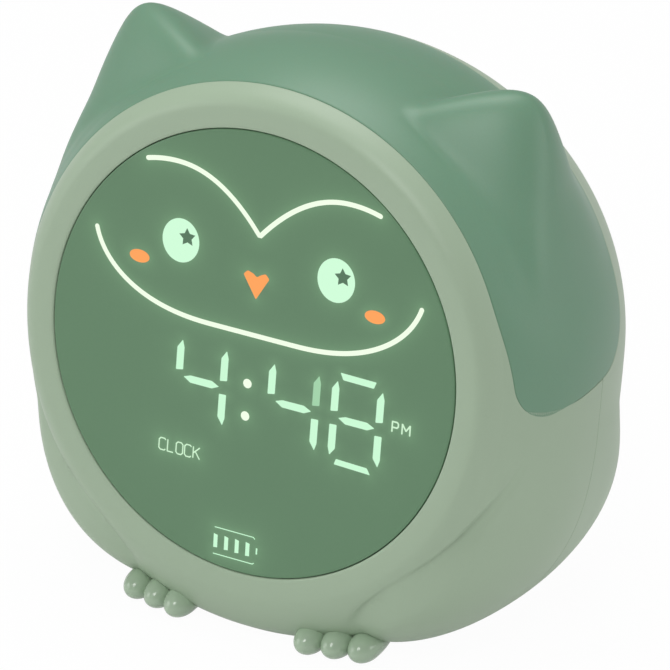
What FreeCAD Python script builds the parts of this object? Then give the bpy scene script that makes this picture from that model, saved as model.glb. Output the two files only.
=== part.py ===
import FreeCAD, Part
import Sketcher
import math
import os

# Owl-shaped alarm clock with a night light.
# The housing is drawn about the display axis: X to the viewer's right, Y back from the lens, Z up
# along the face. The whole housing then leans back by the recline angle and stands on two feet.

V = FreeCAD.Vector
doc = FreeCAD.newDocument("owl_alarm_clock")
sheet = doc.addObject("Spreadsheet::Sheet", "Sizes")

SIZES = [
    ("recline", 8.2, "lean of the face from upright, degrees"),
    ("ground_drop", 60.2, "height of the lens centre above the table"),
    ("lens_radius", 45.0, "round display lens"),
    ("lens_thickness", 1.6, "display lens"),
    ("lens_recess", 0.3, "lens face behind the crest of the bezel"),
    ("lens_gap", 0.15, "clearance round the lens"),
    ("crest_radius", 49.0, "outer edge of the flat crest of the bezel"),
    ("seam_radius", 53.6, "bezel where the hood begins"),
    ("seam_depth", 4.2, "bezel seam behind the crest"),
    ("bezel_roundness", 0.45, "power that rolls the bezel from crest to seam"),
    ("widest_radius", 60.4, "half width of the body"),
    ("widest_depth", 27.5, "where the body is widest"),
    ("back_depth", 73.5, "flat back behind the crest"),
    ("back_corner", 10.0, "round between side and flat back"),
    ("back_flat_radius", 31.6, "flat back from the axis"),
    ("crown_drop", 2.3, "how much flatter the crown is than the sides"),
    ("base_drop", 59.3, "underside of the body below the lens centre"),
    ("chin_drop", 3.4, "how much the lower half hangs below the bezel circle"),
    ("base_squareness", 1.2, "how much squarer the lower half is than an ellipse"),
    ("wall", 2.3, "moulded wall"),
    ("front_wall", 3.6, "bezel wall behind the crest"),
    ("ledge_radius", 43.0, "opening behind the lens"),
    ("parting_depth", 32.0, "where front and rear shell meet under the hood"),
    ("hood_rear_depth", 44.3, "rear edge of the hood"),
    ("lobe_start", 18.3, "height where the lobe leaves the bezel seam"),
    ("lobe_front_depth", 7.4, "front lower corner of the lobe"),
    ("lobe_front_drop", 3.6, "front lower corner of the lobe below the lens centre"),
    ("lobe_rear_rise", 3.5, "rear lower corner of the lobe above the lens centre"),
    ("lobe_front_round", 8.0, "front corner of the lobe"),
    ("lobe_rear_round", 14.0, "rear corner of the lobe"),
    ("ear_tip_across", 42.3, "ear tip from the middle"),
    ("ear_tip_up", 60.0, "ear tip above the lens centre"),
    ("ear_foot_across", 54.0, "outer foot of the ear"),
    ("ear_foot_up", 18.0, "outer foot of the ear"),
    ("ear_notch_across", 22.0, "inner foot of the ear"),
    ("ear_notch_up", 50.2, "inner foot of the ear"),
    ("ear_tip_round", 5.5, "ear tip seen from the front"),
    ("ear_spread", 0.12, "ear outline moves out by this share of depth"),
    ("ear_fall", 0.32, "ear outline drops by this share of depth"),
    ("ear_front_depth", 12.5, "where the ear rises from the hood"),
    ("ear_crest_depth", 23.2, "crest of the ear"),
    ("ear_crest_radius", 73.6, "crest of the ear from the axis"),
    ("ear_shoulder_depth", 30.5, "round back of the ear"),
    ("ear_shoulder_radius", 69.8, "round back of the ear from the axis"),
    ("ear_rear_depth", 44.0, "where the back of the ear runs out"),
    ("post_radius", 3.0, "screw post in the front shell"),
    ("post_inset", 12.4, "screw posts inside the widest place"),
    ("post_circle", "=widest_radius - post_inset", "screw posts from the axis"),
    ("upper_post_angle", 8.0, "upper screw posts, degrees above the level"),
    ("lower_post_angle", -40.0, "lower screw posts, degrees"),
    ("screw_radius", 1.3, "housing screw shank"),
    ("screw_head_radius", 2.7, "housing screw head"),
    ("screw_head_height", 2.0, "housing screw head"),
    ("screw_seat_depth", 50.0, "where the screw head sits"),
    ("screw_bite", 9.0, "screw length in the front post"),
    ("recess_gap", 0.5, "screw head in its recess"),
    ("thread_gap", 0.05, "screw shank in its post"),
    ("hole_gap", 0.3, "screw shank in the rear post"),
    ("film_thickness", 0.3, "printed diffuser film"),
    ("film_gap", 0.4, "film in the ledge opening"),
    ("box_flange_radius", 44.6, "flange of the light box"),
    ("box_flange_thickness", 2.0, "flange of the light box"),
    ("box_gap", 1.0, "light box in the ledge opening"),
    ("box_radius", "=ledge_radius - box_gap", "body of the light box"),
    ("box_depth", 10.2, "rear face of the light box"),
    ("digit_height", 20.4, "display digit"),
    ("digit_width", 10.2, "display digit"),
    ("digit_pitch", 13.9, "digit to digit"),
    ("digit_centre_up", -8.2, "middle of the digits"),
    ("colon_width", 7.0, "extra space at the colon"),
    ("segment_width", 2.0, "lit segment"),
    ("board_thickness", 1.6, "circuit boards"),
    ("board_step", 1.0, "edge of the circuit board inside the light box"),
    ("main_board_radius", "=box_radius - board_step", "round circuit board"),
    ("board_screw_inset", 3.5, "board screws inside the edge of the board"),
    ("board_screw_circle", "=main_board_radius - board_screw_inset", "board screws from the axis"),
    ("board_screw_radius", 1.0, "board screw shank"),
    ("board_screw_head", 1.9, "board screw head radius"),
    ("board_screw_head_height", 1.2, "board screw head"),
    ("board_screw_length", 5.0, "board screw below its head"),
    ("led_side", 1.3, "display light"),
    ("led_height", 0.7, "display light"),
    ("chip_side", 10.0, "controller chip"),
    ("chip_height", 1.2, "controller chip"),
    ("chip_up", 29.0, "controller chip above the middle"),
    ("cell_width", 50.0, "flat rechargeable cell"),
    ("cell_height", 34.0, "flat rechargeable cell"),
    ("cell_thickness", 8.0, "flat rechargeable cell"),
    ("cell_edge", 2.0, "rounded edge of the cell"),
    ("tape_thickness", 0.8, "foam tape under the cell"),
    ("tape_margin", 2.0, "cell beyond the tape"),
    ("reflector_inset", 12.4, "curved reflector inside the widest place"),
    ("reflector_radius", "=widest_radius - reflector_inset", "curved reflector under the hood"),
    ("reflector_wall", 1.6, "curved reflector"),
    ("reflector_start", 28.0, "reflector from this angle to its mirror"),
    ("reflector_end_depth", 43.0, "rear edge of the reflector"),
    ("strip_start", 42.0, "light strip from this angle to its mirror"),
    ("strip_width", 8.0, "light strip"),
    ("strip_depth", 24.0, "middle of the light strip"),
    ("strip_thickness", 0.4, "light strip"),
    ("hood_led_count", 9, "lights under the hood"),
    ("hood_led_side", 3.5, "light under the hood"),
    ("hood_led_height", 1.4, "light under the hood"),
    ("key_width", 9.0, "rear key"),
    ("key_height", 6.0, "rear key"),
    ("key_round", 1.6, "corner of a rear key"),
    ("key_pitch_across", 13.5, "rear key to rear key"),
    ("key_pitch_up", 10.0, "rear key to rear key"),
    ("key_row_up", 20.0, "upper row of rear keys"),
    ("key_proud", 1.0, "rear key beyond the back"),
    ("key_flange", 1.0, "rim that holds a key in"),
    ("key_flange_thickness", 1.0, "rim that holds a key in"),
    ("key_travel", 0.8, "press of a rear key"),
    ("key_gap", 0.2, "clearance round a rear key"),
    ("key_stem_radius", 1.5, "stem that meets the switch"),
    ("key_stem_length", 0.7, "stem that meets the switch"),
    ("rear_wall", 2.2, "flat back wall"),
    ("switch_side", 6.0, "tact switch"),
    ("switch_height", 3.5, "tact switch"),
    ("plunger_radius", 1.6, "tact switch plunger"),
    ("plunger_height", 0.7, "tact switch plunger"),
    ("plunger_gap", 0.1, "left between key and plunger when pressed"),
    ("rear_board_width", 52.0, "rear circuit board"),
    ("rear_board_height", 54.0, "rear circuit board"),
    ("rear_screw_across", 22.5, "rear board screws"),
    ("rear_screw_up", 23.5, "rear board screws"),
    ("boss_radius", 2.6, "bosses under the rear board"),
    ("speaker_radius", 12.6, "speaker frame"),
    ("speaker_up", -7.2, "speaker below the middle"),
    ("speaker_frame", 1.5, "speaker frame thickness"),
    ("speaker_basket", 6.8, "speaker basket depth"),
    ("magnet_radius", 8.0, "speaker magnet"),
    ("magnet_depth", 5.0, "speaker magnet"),
    ("gasket_thickness", 1.0, "foam ring of the speaker"),
    ("gasket_width", 2.0, "foam ring of the speaker"),
    ("speaker_gap", 0.6, "speaker in the rear board"),
    ("grille_hole_radius", 0.9, "speaker grille hole"),
    ("grille_pitch", 3.8, "speaker grille hole to hole"),
    ("socket_width", 9.0, "charging socket"),
    ("socket_height", 3.3, "charging socket"),
    ("socket_shell", 0.35, "charging socket wall"),
    ("socket_inside", 6.4, "charging socket depth"),
    ("socket_sunk", 0.5, "socket mouth inside the back"),
    ("socket_up", -23.5, "charging socket below the middle"),
    ("socket_gap", 0.2, "clearance round the socket"),
    ("tongue_width", 6.6, "contact tongue in the socket"),
    ("tongue_height", 0.7, "contact tongue in the socket"),
    ("toe_radius", 2.8, "round toe"),
    ("inner_toe_across", 14.9, "inner toe from the middle"),
    ("toe_pitch", 5.4, "toe to toe"),
    ("inner_toe_front", 3.9, "inner toe before the lens centre"),
    ("toe_step", 1.2, "each toe behind the one inside it"),
    ("foot_length", 48.0, "toe to heel"),
    ("heel_width", 10.0, "foot at the heel"),
    ("sole_round", 1.2, "edge of the sole"),
]

for row, (word, value, meaning) in enumerate(SIZES, 1):
    sheet.set("A%d" % row, meaning)
    sheet.set("B%d" % row, str(value))
    sheet.setAlias("B%d" % row, word)
doc.recompute()


def size(word):
    """One driving size, read back from the sheet."""
    return float(sheet.get(word))


wall = size("wall")
back_depth = size("back_depth")
widest_depth = size("widest_depth")
lean = math.radians(size("recline"))

# The wing on each side, from its rounded tip low in front to where it fades under the lobe:
# angle about the axis, depth of the front crease, depth of the rear edge, crest from the axis.
WING = [
    (-71.0, 7.0, 24.0, 60.6),
    (-61.0, 4.6, 38.0, 64.6),
    (-49.0, 3.6, 54.0, 67.6),
    (-34.0, 4.3, 60.0, 66.0),
    (-18.0, 6.6, 58.0, 62.6),
    (-4.0, 10.0, 52.0, 59.8),
]
WING_ROOT = 13.0
WING_SQUARENESS = 2.2
SECTION_POINTS = 28
CLEAR = 200.0


# The body form

def side_radius(depth):
    """Half width of the body: rolled bezel, then an arc to the widest place, an arc behind it
    and a round corner into the flat back."""
    seam_depth = size("seam_depth")
    seam_radius = size("seam_radius")
    widest = size("widest_radius")
    corner = size("back_corner")
    if depth < seam_depth:
        share = max(depth, 0.0) / seam_depth
        crest = size("crest_radius")
        return crest + (seam_radius - crest) * share ** size("bezel_roundness")
    if depth < widest_depth:
        rise = widest - seam_radius
        run = widest_depth - seam_depth
        front = (run * run + rise * rise) / (2.0 * rise)
        return widest - front + math.sqrt(front ** 2 - (widest_depth - depth) ** 2)
    corner_depth = back_depth - corner
    corner_radius = size("back_flat_radius")
    fall = widest - corner - corner_radius
    reach = corner_depth - widest_depth
    rear = (fall * fall + reach * reach) / (2.0 * fall) + corner
    touch = widest_depth + reach * rear / (rear - corner)
    if depth < touch:
        return widest - rear + math.sqrt(rear ** 2 - (depth - widest_depth) ** 2)
    return corner_radius + math.sqrt(max(corner ** 2 - (depth - corner_depth) ** 2, 0.0))


def section_wire(depth, inset):
    """Outline of the body at one depth, inset by a wall. The upper half is an ellipse, and the
    lower half a squarer one that stops at the level underside."""
    probe = depth + math.copysign(inset / 2.0, depth - widest_depth)
    probe = min(probe, back_depth)
    half = side_radius(probe) - inset
    blend = min(max((depth - size("seam_depth")) / (widest_depth - size("seam_depth")), 0.0), 1.0)
    top = half - size("crown_drop") * blend
    level = (size("base_drop") - depth * math.sin(lean)) / math.cos(lean) - inset
    chin = size("chin_drop") * min(depth / size("seam_depth"), 1.0)
    low = min(half + chin, level)
    run = (depth - size("seam_depth")) / (back_depth - size("seam_depth"))
    square = 2.0 + size("base_squareness") * math.sin(math.pi * min(max(run, 0.0), 1.0))
    points = []
    for step in range(SECTION_POINTS):
        angle = 2.0 * math.pi * step / SECTION_POINTS
        across = abs(math.cos(angle)) / half
        if step * 2 <= SECTION_POINTS:
            reach = (across ** 2 + (math.sin(angle) / top) ** 2) ** -0.5
        else:
            reach = (across ** square + abs(math.sin(angle) / low) ** square) ** (-1.0 / square)
        points.append(V(reach * math.cos(angle), depth, reach * math.sin(angle)))
    curve = Part.BSplineCurve()
    turns = [step / SECTION_POINTS for step in range(SECTION_POINTS + 1)]
    curve.interpolate(Points=points, PeriodicFlag=True, Parameters=turns)
    return Part.Wire(curve.toShape())


def body_form(inset):
    """The whole egg-like body as one loft, or its hollow when inset by a wall."""
    seam_depth = size("seam_depth")
    if inset > 0.0:
        start = size("front_wall")
        end = back_depth - size("rear_wall")
        depths = [start]
    else:
        end = back_depth
        depths = [0.0, 0.15 * seam_depth, 0.45 * seam_depth, seam_depth]
        start = seam_depth
    shares = [0.08, 0.20, 0.35, 0.52, 0.68, 0.80, 0.89, 0.95, 0.985, 1.0]
    depths += [start + share * (end - start) for share in shares]
    wires = [section_wire(depth, inset) for depth in depths]
    return Part.makeLoft(wires, True, False)


def ear_form(side, inset):
    """An ear: a rounded triangle seen from the front, inside a ring that rises from the hood to
    a crest and runs out behind."""
    tip = V(size("ear_tip_across"), 0, size("ear_tip_up"))
    outer = V(size("ear_foot_across"), 0, size("ear_foot_up"))
    inner = V(size("ear_notch_across"), 0, size("ear_notch_up"))
    root = V(inner.x, 0, outer.z)
    outline = Part.makePolygon([tip, outer, root, inner, tip])
    slant = V(size("ear_spread"), 1, -size("ear_fall"))
    start = V(0, size("ear_crest_depth"), 0) - slant * size("ear_crest_depth")
    outline.translate(start)
    prism = Part.Face(outline).extrude(slant * back_depth)
    tip_start = tip + start
    tip_edges = [edge for edge in prism.Edges if edge.distToShape(Part.Vertex(tip_start))[0] < 1e-6
                 and abs(edge.tangentAt(edge.FirstParameter).y) > 0.7]
    prism = prism.makeFillet(size("ear_tip_round"), tip_edges)
    if inset > 0.0:
        prism = prism.makeOffsetShape(-inset, 0.01, fill=False)
        prism = Part.makeSolid(prism) if prism.ShapeType != "Solid" else prism
    front = size("ear_front_depth")
    crest = size("ear_crest_depth")
    rear = size("ear_rear_depth")
    low = side_radius(front) - 0.8
    high = size("ear_crest_radius")
    away = side_radius(rear) - 0.8
    core = size("lens_radius")
    profile = Part.makePolygon([
        V(core, front + inset, 0), V(low, front + inset, 0),
        V(high - inset, crest + inset / 2.0, 0),
        V(size("ear_shoulder_radius") - inset, size("ear_shoulder_depth"), 0),
        V(away, rear - inset, 0),
        V(core, rear - inset, 0), V(core, front + inset, 0)])
    ring = Part.Face(profile).revolve(V(0, 0, 0), V(0, 1, 0), 360)
    ear = prism.common(ring)
    if side < 0:
        ear = ear.mirror(V(0, 0, 0), V(1, 0, 0))
    return ear


def wing_form(side):
    """A wing: flat ellipses in planes through the axis, lofted from the tip upwards."""
    wires = []
    for angle, front, rear, crest in WING:
        half = (rear - front) / 2.0
        turn = math.radians(angle)
        out = V(math.cos(turn), 0, math.sin(turn))
        middle = out * (crest - WING_ROOT) + V(0, (front + rear) / 2.0, 0)
        points = []
        for step in range(16):
            swing = 2.0 * math.pi * step / 16
            rise = abs(math.cos(swing)) ** WING_SQUARENESS + abs(math.sin(swing)) ** WING_SQUARENESS
            reach = rise ** (-1.0 / WING_SQUARENESS)
            points.append(middle + out * (WING_ROOT * reach * math.cos(swing))
                          + V(0, half * reach * math.sin(swing), 0))
        curve = Part.BSplineCurve()
        curve.interpolate(Points=points, PeriodicFlag=True,
                          Parameters=[step / 16 for step in range(17)])
        wires.append(Part.Wire(curve.toShape()))
    wing = Part.makeLoft(wires, True, False)
    if side < 0:
        wing = wing.mirror(V(0, 0, 0), V(1, 0, 0))
    return wing


# Placing the pieces

pieces = []
housing = FreeCAD.Placement(V(0, 0, 0), FreeCAD.Rotation(V(1, 0, 0), -size("recline")))
upright = FreeCAD.Rotation(V(1, 0, 0), 90)
rearward = FreeCAD.Rotation(V(1, 0, 0), -90)


def facing(across=0.0, up=0.0, depth=0.0):
    """Placement of a piece drawn in front view whose back plane lies at this depth."""
    return housing.multiply(FreeCAD.Placement(V(across, depth, up), upright))


def made(label, shape, placement):
    """A sub-part whose shape is worked out in code."""
    piece = doc.addObject("Part::Feature", label)
    piece.Label = label
    piece.Shape = shape
    piece.Placement = placement.multiply(shape.Placement)
    pieces.append(piece)
    return piece


def body_of(label, placement):
    """An empty sub-part that is built from sketches."""
    body = doc.addObject("PartDesign::Body", label)
    body.Label = label
    body.Placement = placement
    pieces.append(body)
    return body


def sketch_in(body, name, lift=None):
    """A sketch on the body's own front-view plane, lifted off it where that is asked."""
    sketch = body.newObject("Sketcher::SketchObject", name)
    plane = [feature for feature in body.Origin.OriginFeatures if feature.Role == "XY_Plane"][0]
    sketch.AttachmentSupport = [(plane, "")]
    sketch.MapMode = "FlatFace"
    if lift:
        sketch.setExpression(".AttachmentOffset.Base.z", lift)
    return sketch


def ring_in(sketch, radius, across="0", up="0"):
    """A circle bound to the sizes."""
    index = sketch.addGeometry(Part.Circle(V(1, 1, 0), V(0, 0, 1), 1.0))
    for kind, position, rule in (("Radius", None, radius), ("DistanceX", 3, across),
                                 ("DistanceY", 3, up)):
        if kind == "Radius":
            number = sketch.addConstraint(Sketcher.Constraint(kind, index, 1.0))
        else:
            number = sketch.addConstraint(Sketcher.Constraint(kind, -1, 1, index, position, 1.0))
        sketch.setExpression("Constraints[%d]" % number, rule)


def rectangle_in(sketch, width, height, across="0", up="0"):
    """A rectangle bound to the sizes, centred on its own place."""
    corners = [V(0, 0, 0), V(2, 0, 0), V(2, 1, 0), V(0, 1, 0)]
    first = sketch.GeometryCount
    for number in range(4):
        sketch.addGeometry(Part.LineSegment(corners[number], corners[(number + 1) % 4]))
    for number in range(4):
        following = first + (number + 1) % 4
        sketch.addConstraint(Sketcher.Constraint("Coincident", first + number, 2, following, 1))
        level = "Horizontal" if number % 2 == 0 else "Vertical"
        sketch.addConstraint(Sketcher.Constraint(level, first + number))
    for kind, line, rule in (("DistanceX", first, width), ("DistanceY", first + 1, height)):
        number = sketch.addConstraint(Sketcher.Constraint(kind, line, 1, line, 2, 1.5))
        sketch.setExpression("Constraints[%d]" % number, rule)
    for kind, rule in (("DistanceX", "%s - (%s) / 2" % (across, width)),
                       ("DistanceY", "%s - (%s) / 2" % (up, height))):
        number = sketch.addConstraint(Sketcher.Constraint(kind, -1, 1, first, 1, 1.0))
        sketch.setExpression("Constraints[%d]" % number, rule)


def pad_in(body, sketch, length, name):
    """A pad towards the viewer."""
    pad = body.newObject("PartDesign::Pad", name)
    pad.Profile = sketch
    pad.setExpression("Length", length)
    sketch.Visibility = False
    return pad


def polar(radius, degrees):
    """Place across and up of a point at an angle about the axis."""
    turn = math.radians(degrees)
    return radius * math.cos(turn), radius * math.sin(turn)


def rod(radius, across, up, start, end):
    """A round bar along the axis between two depths."""
    return Part.makeCylinder(radius, end - start, V(across, start, up), V(0, 1, 0))


def block(width, height, across, up, start, end, corner=0.0):
    """A block along the axis between two depths, with rounded corners where asked."""
    box = Part.makeBox(width, end - start, height, V(across - width / 2, start, up - height / 2))
    if corner > 0.0:
        edges = [edge for edge in box.Edges if abs(edge.tangentAt(edge.FirstParameter).y) > 0.9]
        box = box.makeFillet(corner, edges)
    return box


# The three mouldings: front shell, hood and rear shell

body_outer = body_form(0.0)
body_inner = body_form(wall)
ears = [ear_form(side, 0.0) for side in (-1, 1)]
wings = [wing_form(side) for side in (-1, 1)]

lobe_corners = [
    V(0, size("seam_depth"), CLEAR),
    V(0, size("seam_depth"), size("lobe_start")),
    V(0, size("lobe_front_depth"), -size("lobe_front_drop")),
    V(0, size("hood_rear_depth"), size("lobe_rear_rise")),
    V(0, size("hood_rear_depth"), CLEAR),
]
lobe_face = Part.Face(Part.makePolygon(lobe_corners + lobe_corners[:1]))
hood_zone = lobe_face.extrude(V(2 * CLEAR, 0, 0))
hood_zone.translate(V(-CLEAR, 0, 0))


def corner_edges(solid, corner):
    """The long edges across the housing that pass through one corner of the side view."""
    found = []
    for edge in solid.Edges:
        ends = [vertex.Point for vertex in edge.Vertexes]
        if all(abs(end.y - corner.y) < 1e-6 and abs(end.z - corner.z) < 1e-6 for end in ends):
            found.append(edge)
    return found


hood_zone = hood_zone.makeFillet(size("lobe_front_round"), corner_edges(hood_zone, lobe_corners[2]))
hood_zone = hood_zone.makeFillet(size("lobe_rear_round"), corner_edges(hood_zone, lobe_corners[3]))

front_zone = Part.makeBox(2 * CLEAR, size("parting_depth") + CLEAR, 2 * CLEAR,
                          V(-CLEAR, -CLEAR, -CLEAR)).cut(hood_zone)
rear_zone = Part.makeBox(2 * CLEAR, CLEAR, 2 * CLEAR,
                         V(-CLEAR, size("parting_depth"), -CLEAR)).cut(hood_zone)
# In front of the hood the bezel reaches only to the seam.
front_cap = Part.makeBox(2 * CLEAR, CLEAR, CLEAR, V(-CLEAR, size("seam_depth"), size("lobe_start")))
front_zone = front_zone.cut(front_cap)
rear_cap = Part.makeBox(2 * CLEAR, size("hood_rear_depth"), CLEAR, V(-CLEAR, 0, size("lobe_start")))
rear_zone = rear_zone.cut(rear_cap)

shell_outer = body_outer.fuse(wings)
shell_outer = shell_outer.common(Part.makeBox(2 * CLEAR, back_depth, 2 * CLEAR,
                                              V(-CLEAR, 0, -CLEAR)))
hood_outer = shell_outer.fuse(ears)
ear_hollows = [ear_form(side, wall) for side in (-1, 1)]
hood_inner = body_inner.fuse(ear_hollows)

lens_back = size("lens_recess") + size("lens_thickness")
lens_seat = rod(size("lens_radius") + size("lens_gap"), 0, 0, -1, lens_back)
lens_ledge = rod(size("ledge_radius"), 0, 0, -1, size("front_wall") + 1)
front_shape = shell_outer.cut([body_inner, lens_seat, lens_ledge]).common(front_zone)

post_places = [polar(size("post_circle"), angle) for angle in
               (size("upper_post_angle"), 180 - size("upper_post_angle"),
                size("lower_post_angle"), 180 - size("lower_post_angle"))]
seat = size("screw_seat_depth")
parting = size("parting_depth")
recess_radius = size("screw_head_radius") + size("recess_gap")
front_posts = [rod(size("post_radius"), across, up, size("front_wall") - 0.5, parting)
               for across, up in post_places]
front_pilots = [rod(size("screw_radius") + size("thread_gap"), across, up,
                    parting - size("screw_bite") - 1.0, parting + 1)
                for across, up in post_places]
front_shape = front_shape.fuse(front_posts).cut(front_pilots)
made("front_shell", front_shape.Solids[0], housing)

hood_shape = hood_outer.cut(hood_inner).common(hood_zone)
made("night_light_hood", hood_shape.Solids[0], housing)

rear_shape = shell_outer.cut(body_inner).common(rear_zone)
wall_inside = back_depth - size("rear_wall")
rear_adds = []
rear_cuts = []
for across, up in post_places:
    rear_post = rod(recess_radius + 1.2, across, up, seat - 1.6, back_depth)
    rear_adds.append(rear_post.common(shell_outer))
    rear_adds.append(rod(size("post_radius"), across, up, parting, seat))
    rear_cuts.append(rod(recess_radius, across, up, seat, back_depth + 1))
    rear_cuts.append(rod(size("screw_radius") + size("hole_gap"), across, up, parting - 1, seat + 1))

board_back = wall_inside - size("key_flange_thickness") - size("key_stem_length") \
    - size("key_travel") - size("plunger_gap") - size("plunger_height") - size("switch_height")
for side in (-1, 1):
    for lift in (-1, 1):
        boss = rod(size("boss_radius"), side * size("rear_screw_across"),
                   lift * size("rear_screw_up"), board_back, wall_inside + 0.5)
        rear_adds.append(boss)
        rear_cuts.append(rod(size("board_screw_radius") + size("thread_gap"),
                             side * size("rear_screw_across"), lift * size("rear_screw_up"),
                             board_back - 1, board_back + size("board_screw_length")))

key_places = []
for row, row_name in enumerate(("upper", "lower")):
    for column, column_name in enumerate(("left", "middle", "right")):
        key_places.append(("key_%s_%s" % (row_name, column_name),
                           (1 - column) * size("key_pitch_across"),
                           size("key_row_up") - row * size("key_pitch_up")))
for label, across, up in key_places:
    rear_cuts.append(block(size("key_width") + 2 * size("key_gap"),
                           size("key_height") + 2 * size("key_gap"), across, up,
                           wall_inside - 1, back_depth + 1, size("key_round") + size("key_gap")))
rear_cuts.append(block(size("socket_width") + 2 * size("socket_gap"),
                       size("socket_height") + 2 * size("socket_gap"), 0, size("socket_up"),
                       wall_inside - 1, back_depth + 1,
                       size("socket_height") / 2))
# The grille: one hole in the middle, six round it and twelve round those.
for ring_number in range(3):
    holes = max(6 * ring_number, 1)
    for number in range(holes):
        across, up = polar(ring_number * size("grille_pitch"), 360.0 * number / holes)
        rear_cuts.append(rod(size("grille_hole_radius"), across, up + size("speaker_up"),
                             wall_inside - 1, back_depth + 1))
rear_shape = rear_shape.fuse(rear_adds).cut(rear_cuts)
made("rear_shell", rear_shape.Solids[0], housing)


# The display stack

lens = body_of("display_lens", facing(depth=lens_back))
outline = sketch_in(lens, "lens_outline")
ring_in(outline, "Sizes.lens_radius")
pad_in(lens, outline, "Sizes.lens_thickness", "lens_plate")

film_back = lens_back + size("film_thickness")
film = body_of("display_film", facing(depth=film_back))
outline = sketch_in(film, "film_outline")
ring_in(outline, "Sizes.ledge_radius - Sizes.film_gap")
pad_in(film, outline, "Sizes.film_thickness", "film_sheet")

light_box = rod(size("box_flange_radius"), 0, 0, size("front_wall"),
                size("front_wall") + size("box_flange_thickness"))
light_box = light_box.fuse(rod(size("box_radius"), 0, 0, film_back, size("box_depth")))
# Seven windows to a digit: three level bars and four upright ones, each with a light behind.
digit_places = [-1.5 * size("digit_pitch") - size("colon_width") / 2.0,
                -0.5 * size("digit_pitch") - size("colon_width") / 2.0,
                0.5 * size("digit_pitch") + size("colon_width") / 2.0,
                1.5 * size("digit_pitch") + size("colon_width") / 2.0]
segment = size("segment_width")
half_high = size("digit_height") / 2.0
windows = []
lights = []
for middle in digit_places:
    bars = [(0, 0, True), (0, 1, True), (0, -1, True),
            (-1, 0.5, False), (1, 0.5, False), (-1, -0.5, False), (1, -0.5, False)]
    for column, level, lies in bars:
        across = middle + column * (size("digit_width") - segment) / 2.0
        up = size("digit_centre_up") + level * (half_high - segment / 2.0)
        if lies:
            window = block(size("digit_width") - 2 * segment, segment, across, up,
                           film_back - 1, size("box_depth") + 1)
        else:
            window = block(segment, half_high - 2 * segment, across, up,
                           film_back - 1, size("box_depth") + 1)
        windows.append(window)
        lights.append(block(size("led_side"), size("led_side"), across, up,
                            size("box_depth") - size("led_height"), size("box_depth")))
board_screws = [polar(size("board_screw_circle"), angle) for angle in (45, 135, 225, 315)]
pilots = [rod(size("board_screw_radius") + size("thread_gap"), across, up,
              size("box_depth") - size("board_screw_length") + size("board_thickness") - 0.5,
              size("box_depth") + 1)
          for across, up in board_screws]
made("light_box", light_box.cut(windows + pilots), housing)
made("display_leds", Part.makeCompound(lights), housing)

board = body_of("main_board", facing(depth=size("box_depth") + size("board_thickness")))
outline = sketch_in(board, "board_outline")
ring_in(outline, "Sizes.main_board_radius")
for across, up in ((1, 1), (-1, 1), (-1, -1), (1, -1)):
    rule = "%d * Sizes.board_screw_circle * sin(45)"
    ring_in(outline, "Sizes.board_screw_radius + Sizes.hole_gap", rule % across, rule % up)
pad_in(board, outline, "Sizes.board_thickness", "board_plate")

main_back = size("box_depth") + size("board_thickness")


def screw(across, up, head_depth, shank_end, radius, head_radius, head_height):
    """A pan-head screw driven forwards, head resting at one depth."""
    head = rod(head_radius, across, up, head_depth, head_depth + head_height)
    edge = [item for item in head.Edges if item.BoundBox.YLength < 1e-6
            and item.CenterOfMass.y > head_depth + head_height / 2.0]
    head = head.makeFillet(head_height * 0.4, edge)
    return head.fuse(rod(radius, across, up, shank_end, head_depth))


made("board_screws", Part.makeCompound([
    screw(across, up, main_back,
          main_back - size("board_screw_length"), size("board_screw_radius"),
          size("board_screw_head"), size("board_screw_head_height"))
    for across, up in board_screws]), housing)

chip = body_of("controller_chip", facing(up=size("chip_up"), depth=main_back + size("chip_height")))
outline = sketch_in(chip, "chip_outline")
rectangle_in(outline, "Sizes.chip_side", "Sizes.chip_side")
pad_in(chip, outline, "Sizes.chip_height", "chip_block")

tape_back = main_back + size("tape_thickness")
tape = body_of("cell_tape", facing(depth=tape_back))
outline = sketch_in(tape, "tape_outline")
rectangle_in(outline, "Sizes.cell_width - 2 * Sizes.tape_margin",
             "Sizes.cell_height - 2 * Sizes.tape_margin")
pad_in(tape, outline, "Sizes.tape_thickness", "tape_sheet")

cell = body_of("battery_cell", facing(depth=tape_back + size("cell_thickness")))
outline = sketch_in(cell, "cell_outline")
rectangle_in(outline, "Sizes.cell_width", "Sizes.cell_height")
pad = pad_in(cell, outline, "Sizes.cell_thickness", "cell_block")
doc.recompute()
edges = ["Edge%d" % number for number, edge in enumerate(pad.Shape.Edges, 1)
         if abs(edge.tangentAt(edge.FirstParameter).z) > 0.9]
rounding = cell.newObject("PartDesign::Fillet", "cell_corners")
rounding.Base = (pad, edges)
rounding.setExpression("Radius", "Sizes.cell_edge")


# The light under the hood

def arc_sheet(radius, thickness, start_angle, start, end):
    """A sheet bent round the axis, from an angle to its mirror on the other side."""
    outer_bar = rod(radius, 0, 0, start, end)
    bent = outer_bar.cut(rod(radius - thickness, 0, 0, start - 1, end + 1))
    left, right = polar(CLEAR, start_angle)
    wedge = Part.Face(Part.makePolygon([V(0, start - 1, 0), V(left, start - 1, right),
                                        V(0, start - 1, 2 * CLEAR), V(-left, start - 1, right),
                                        V(0, start - 1, 0)]))
    return bent.common(wedge.extrude(V(0, end - start + 2, 0)))


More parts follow.
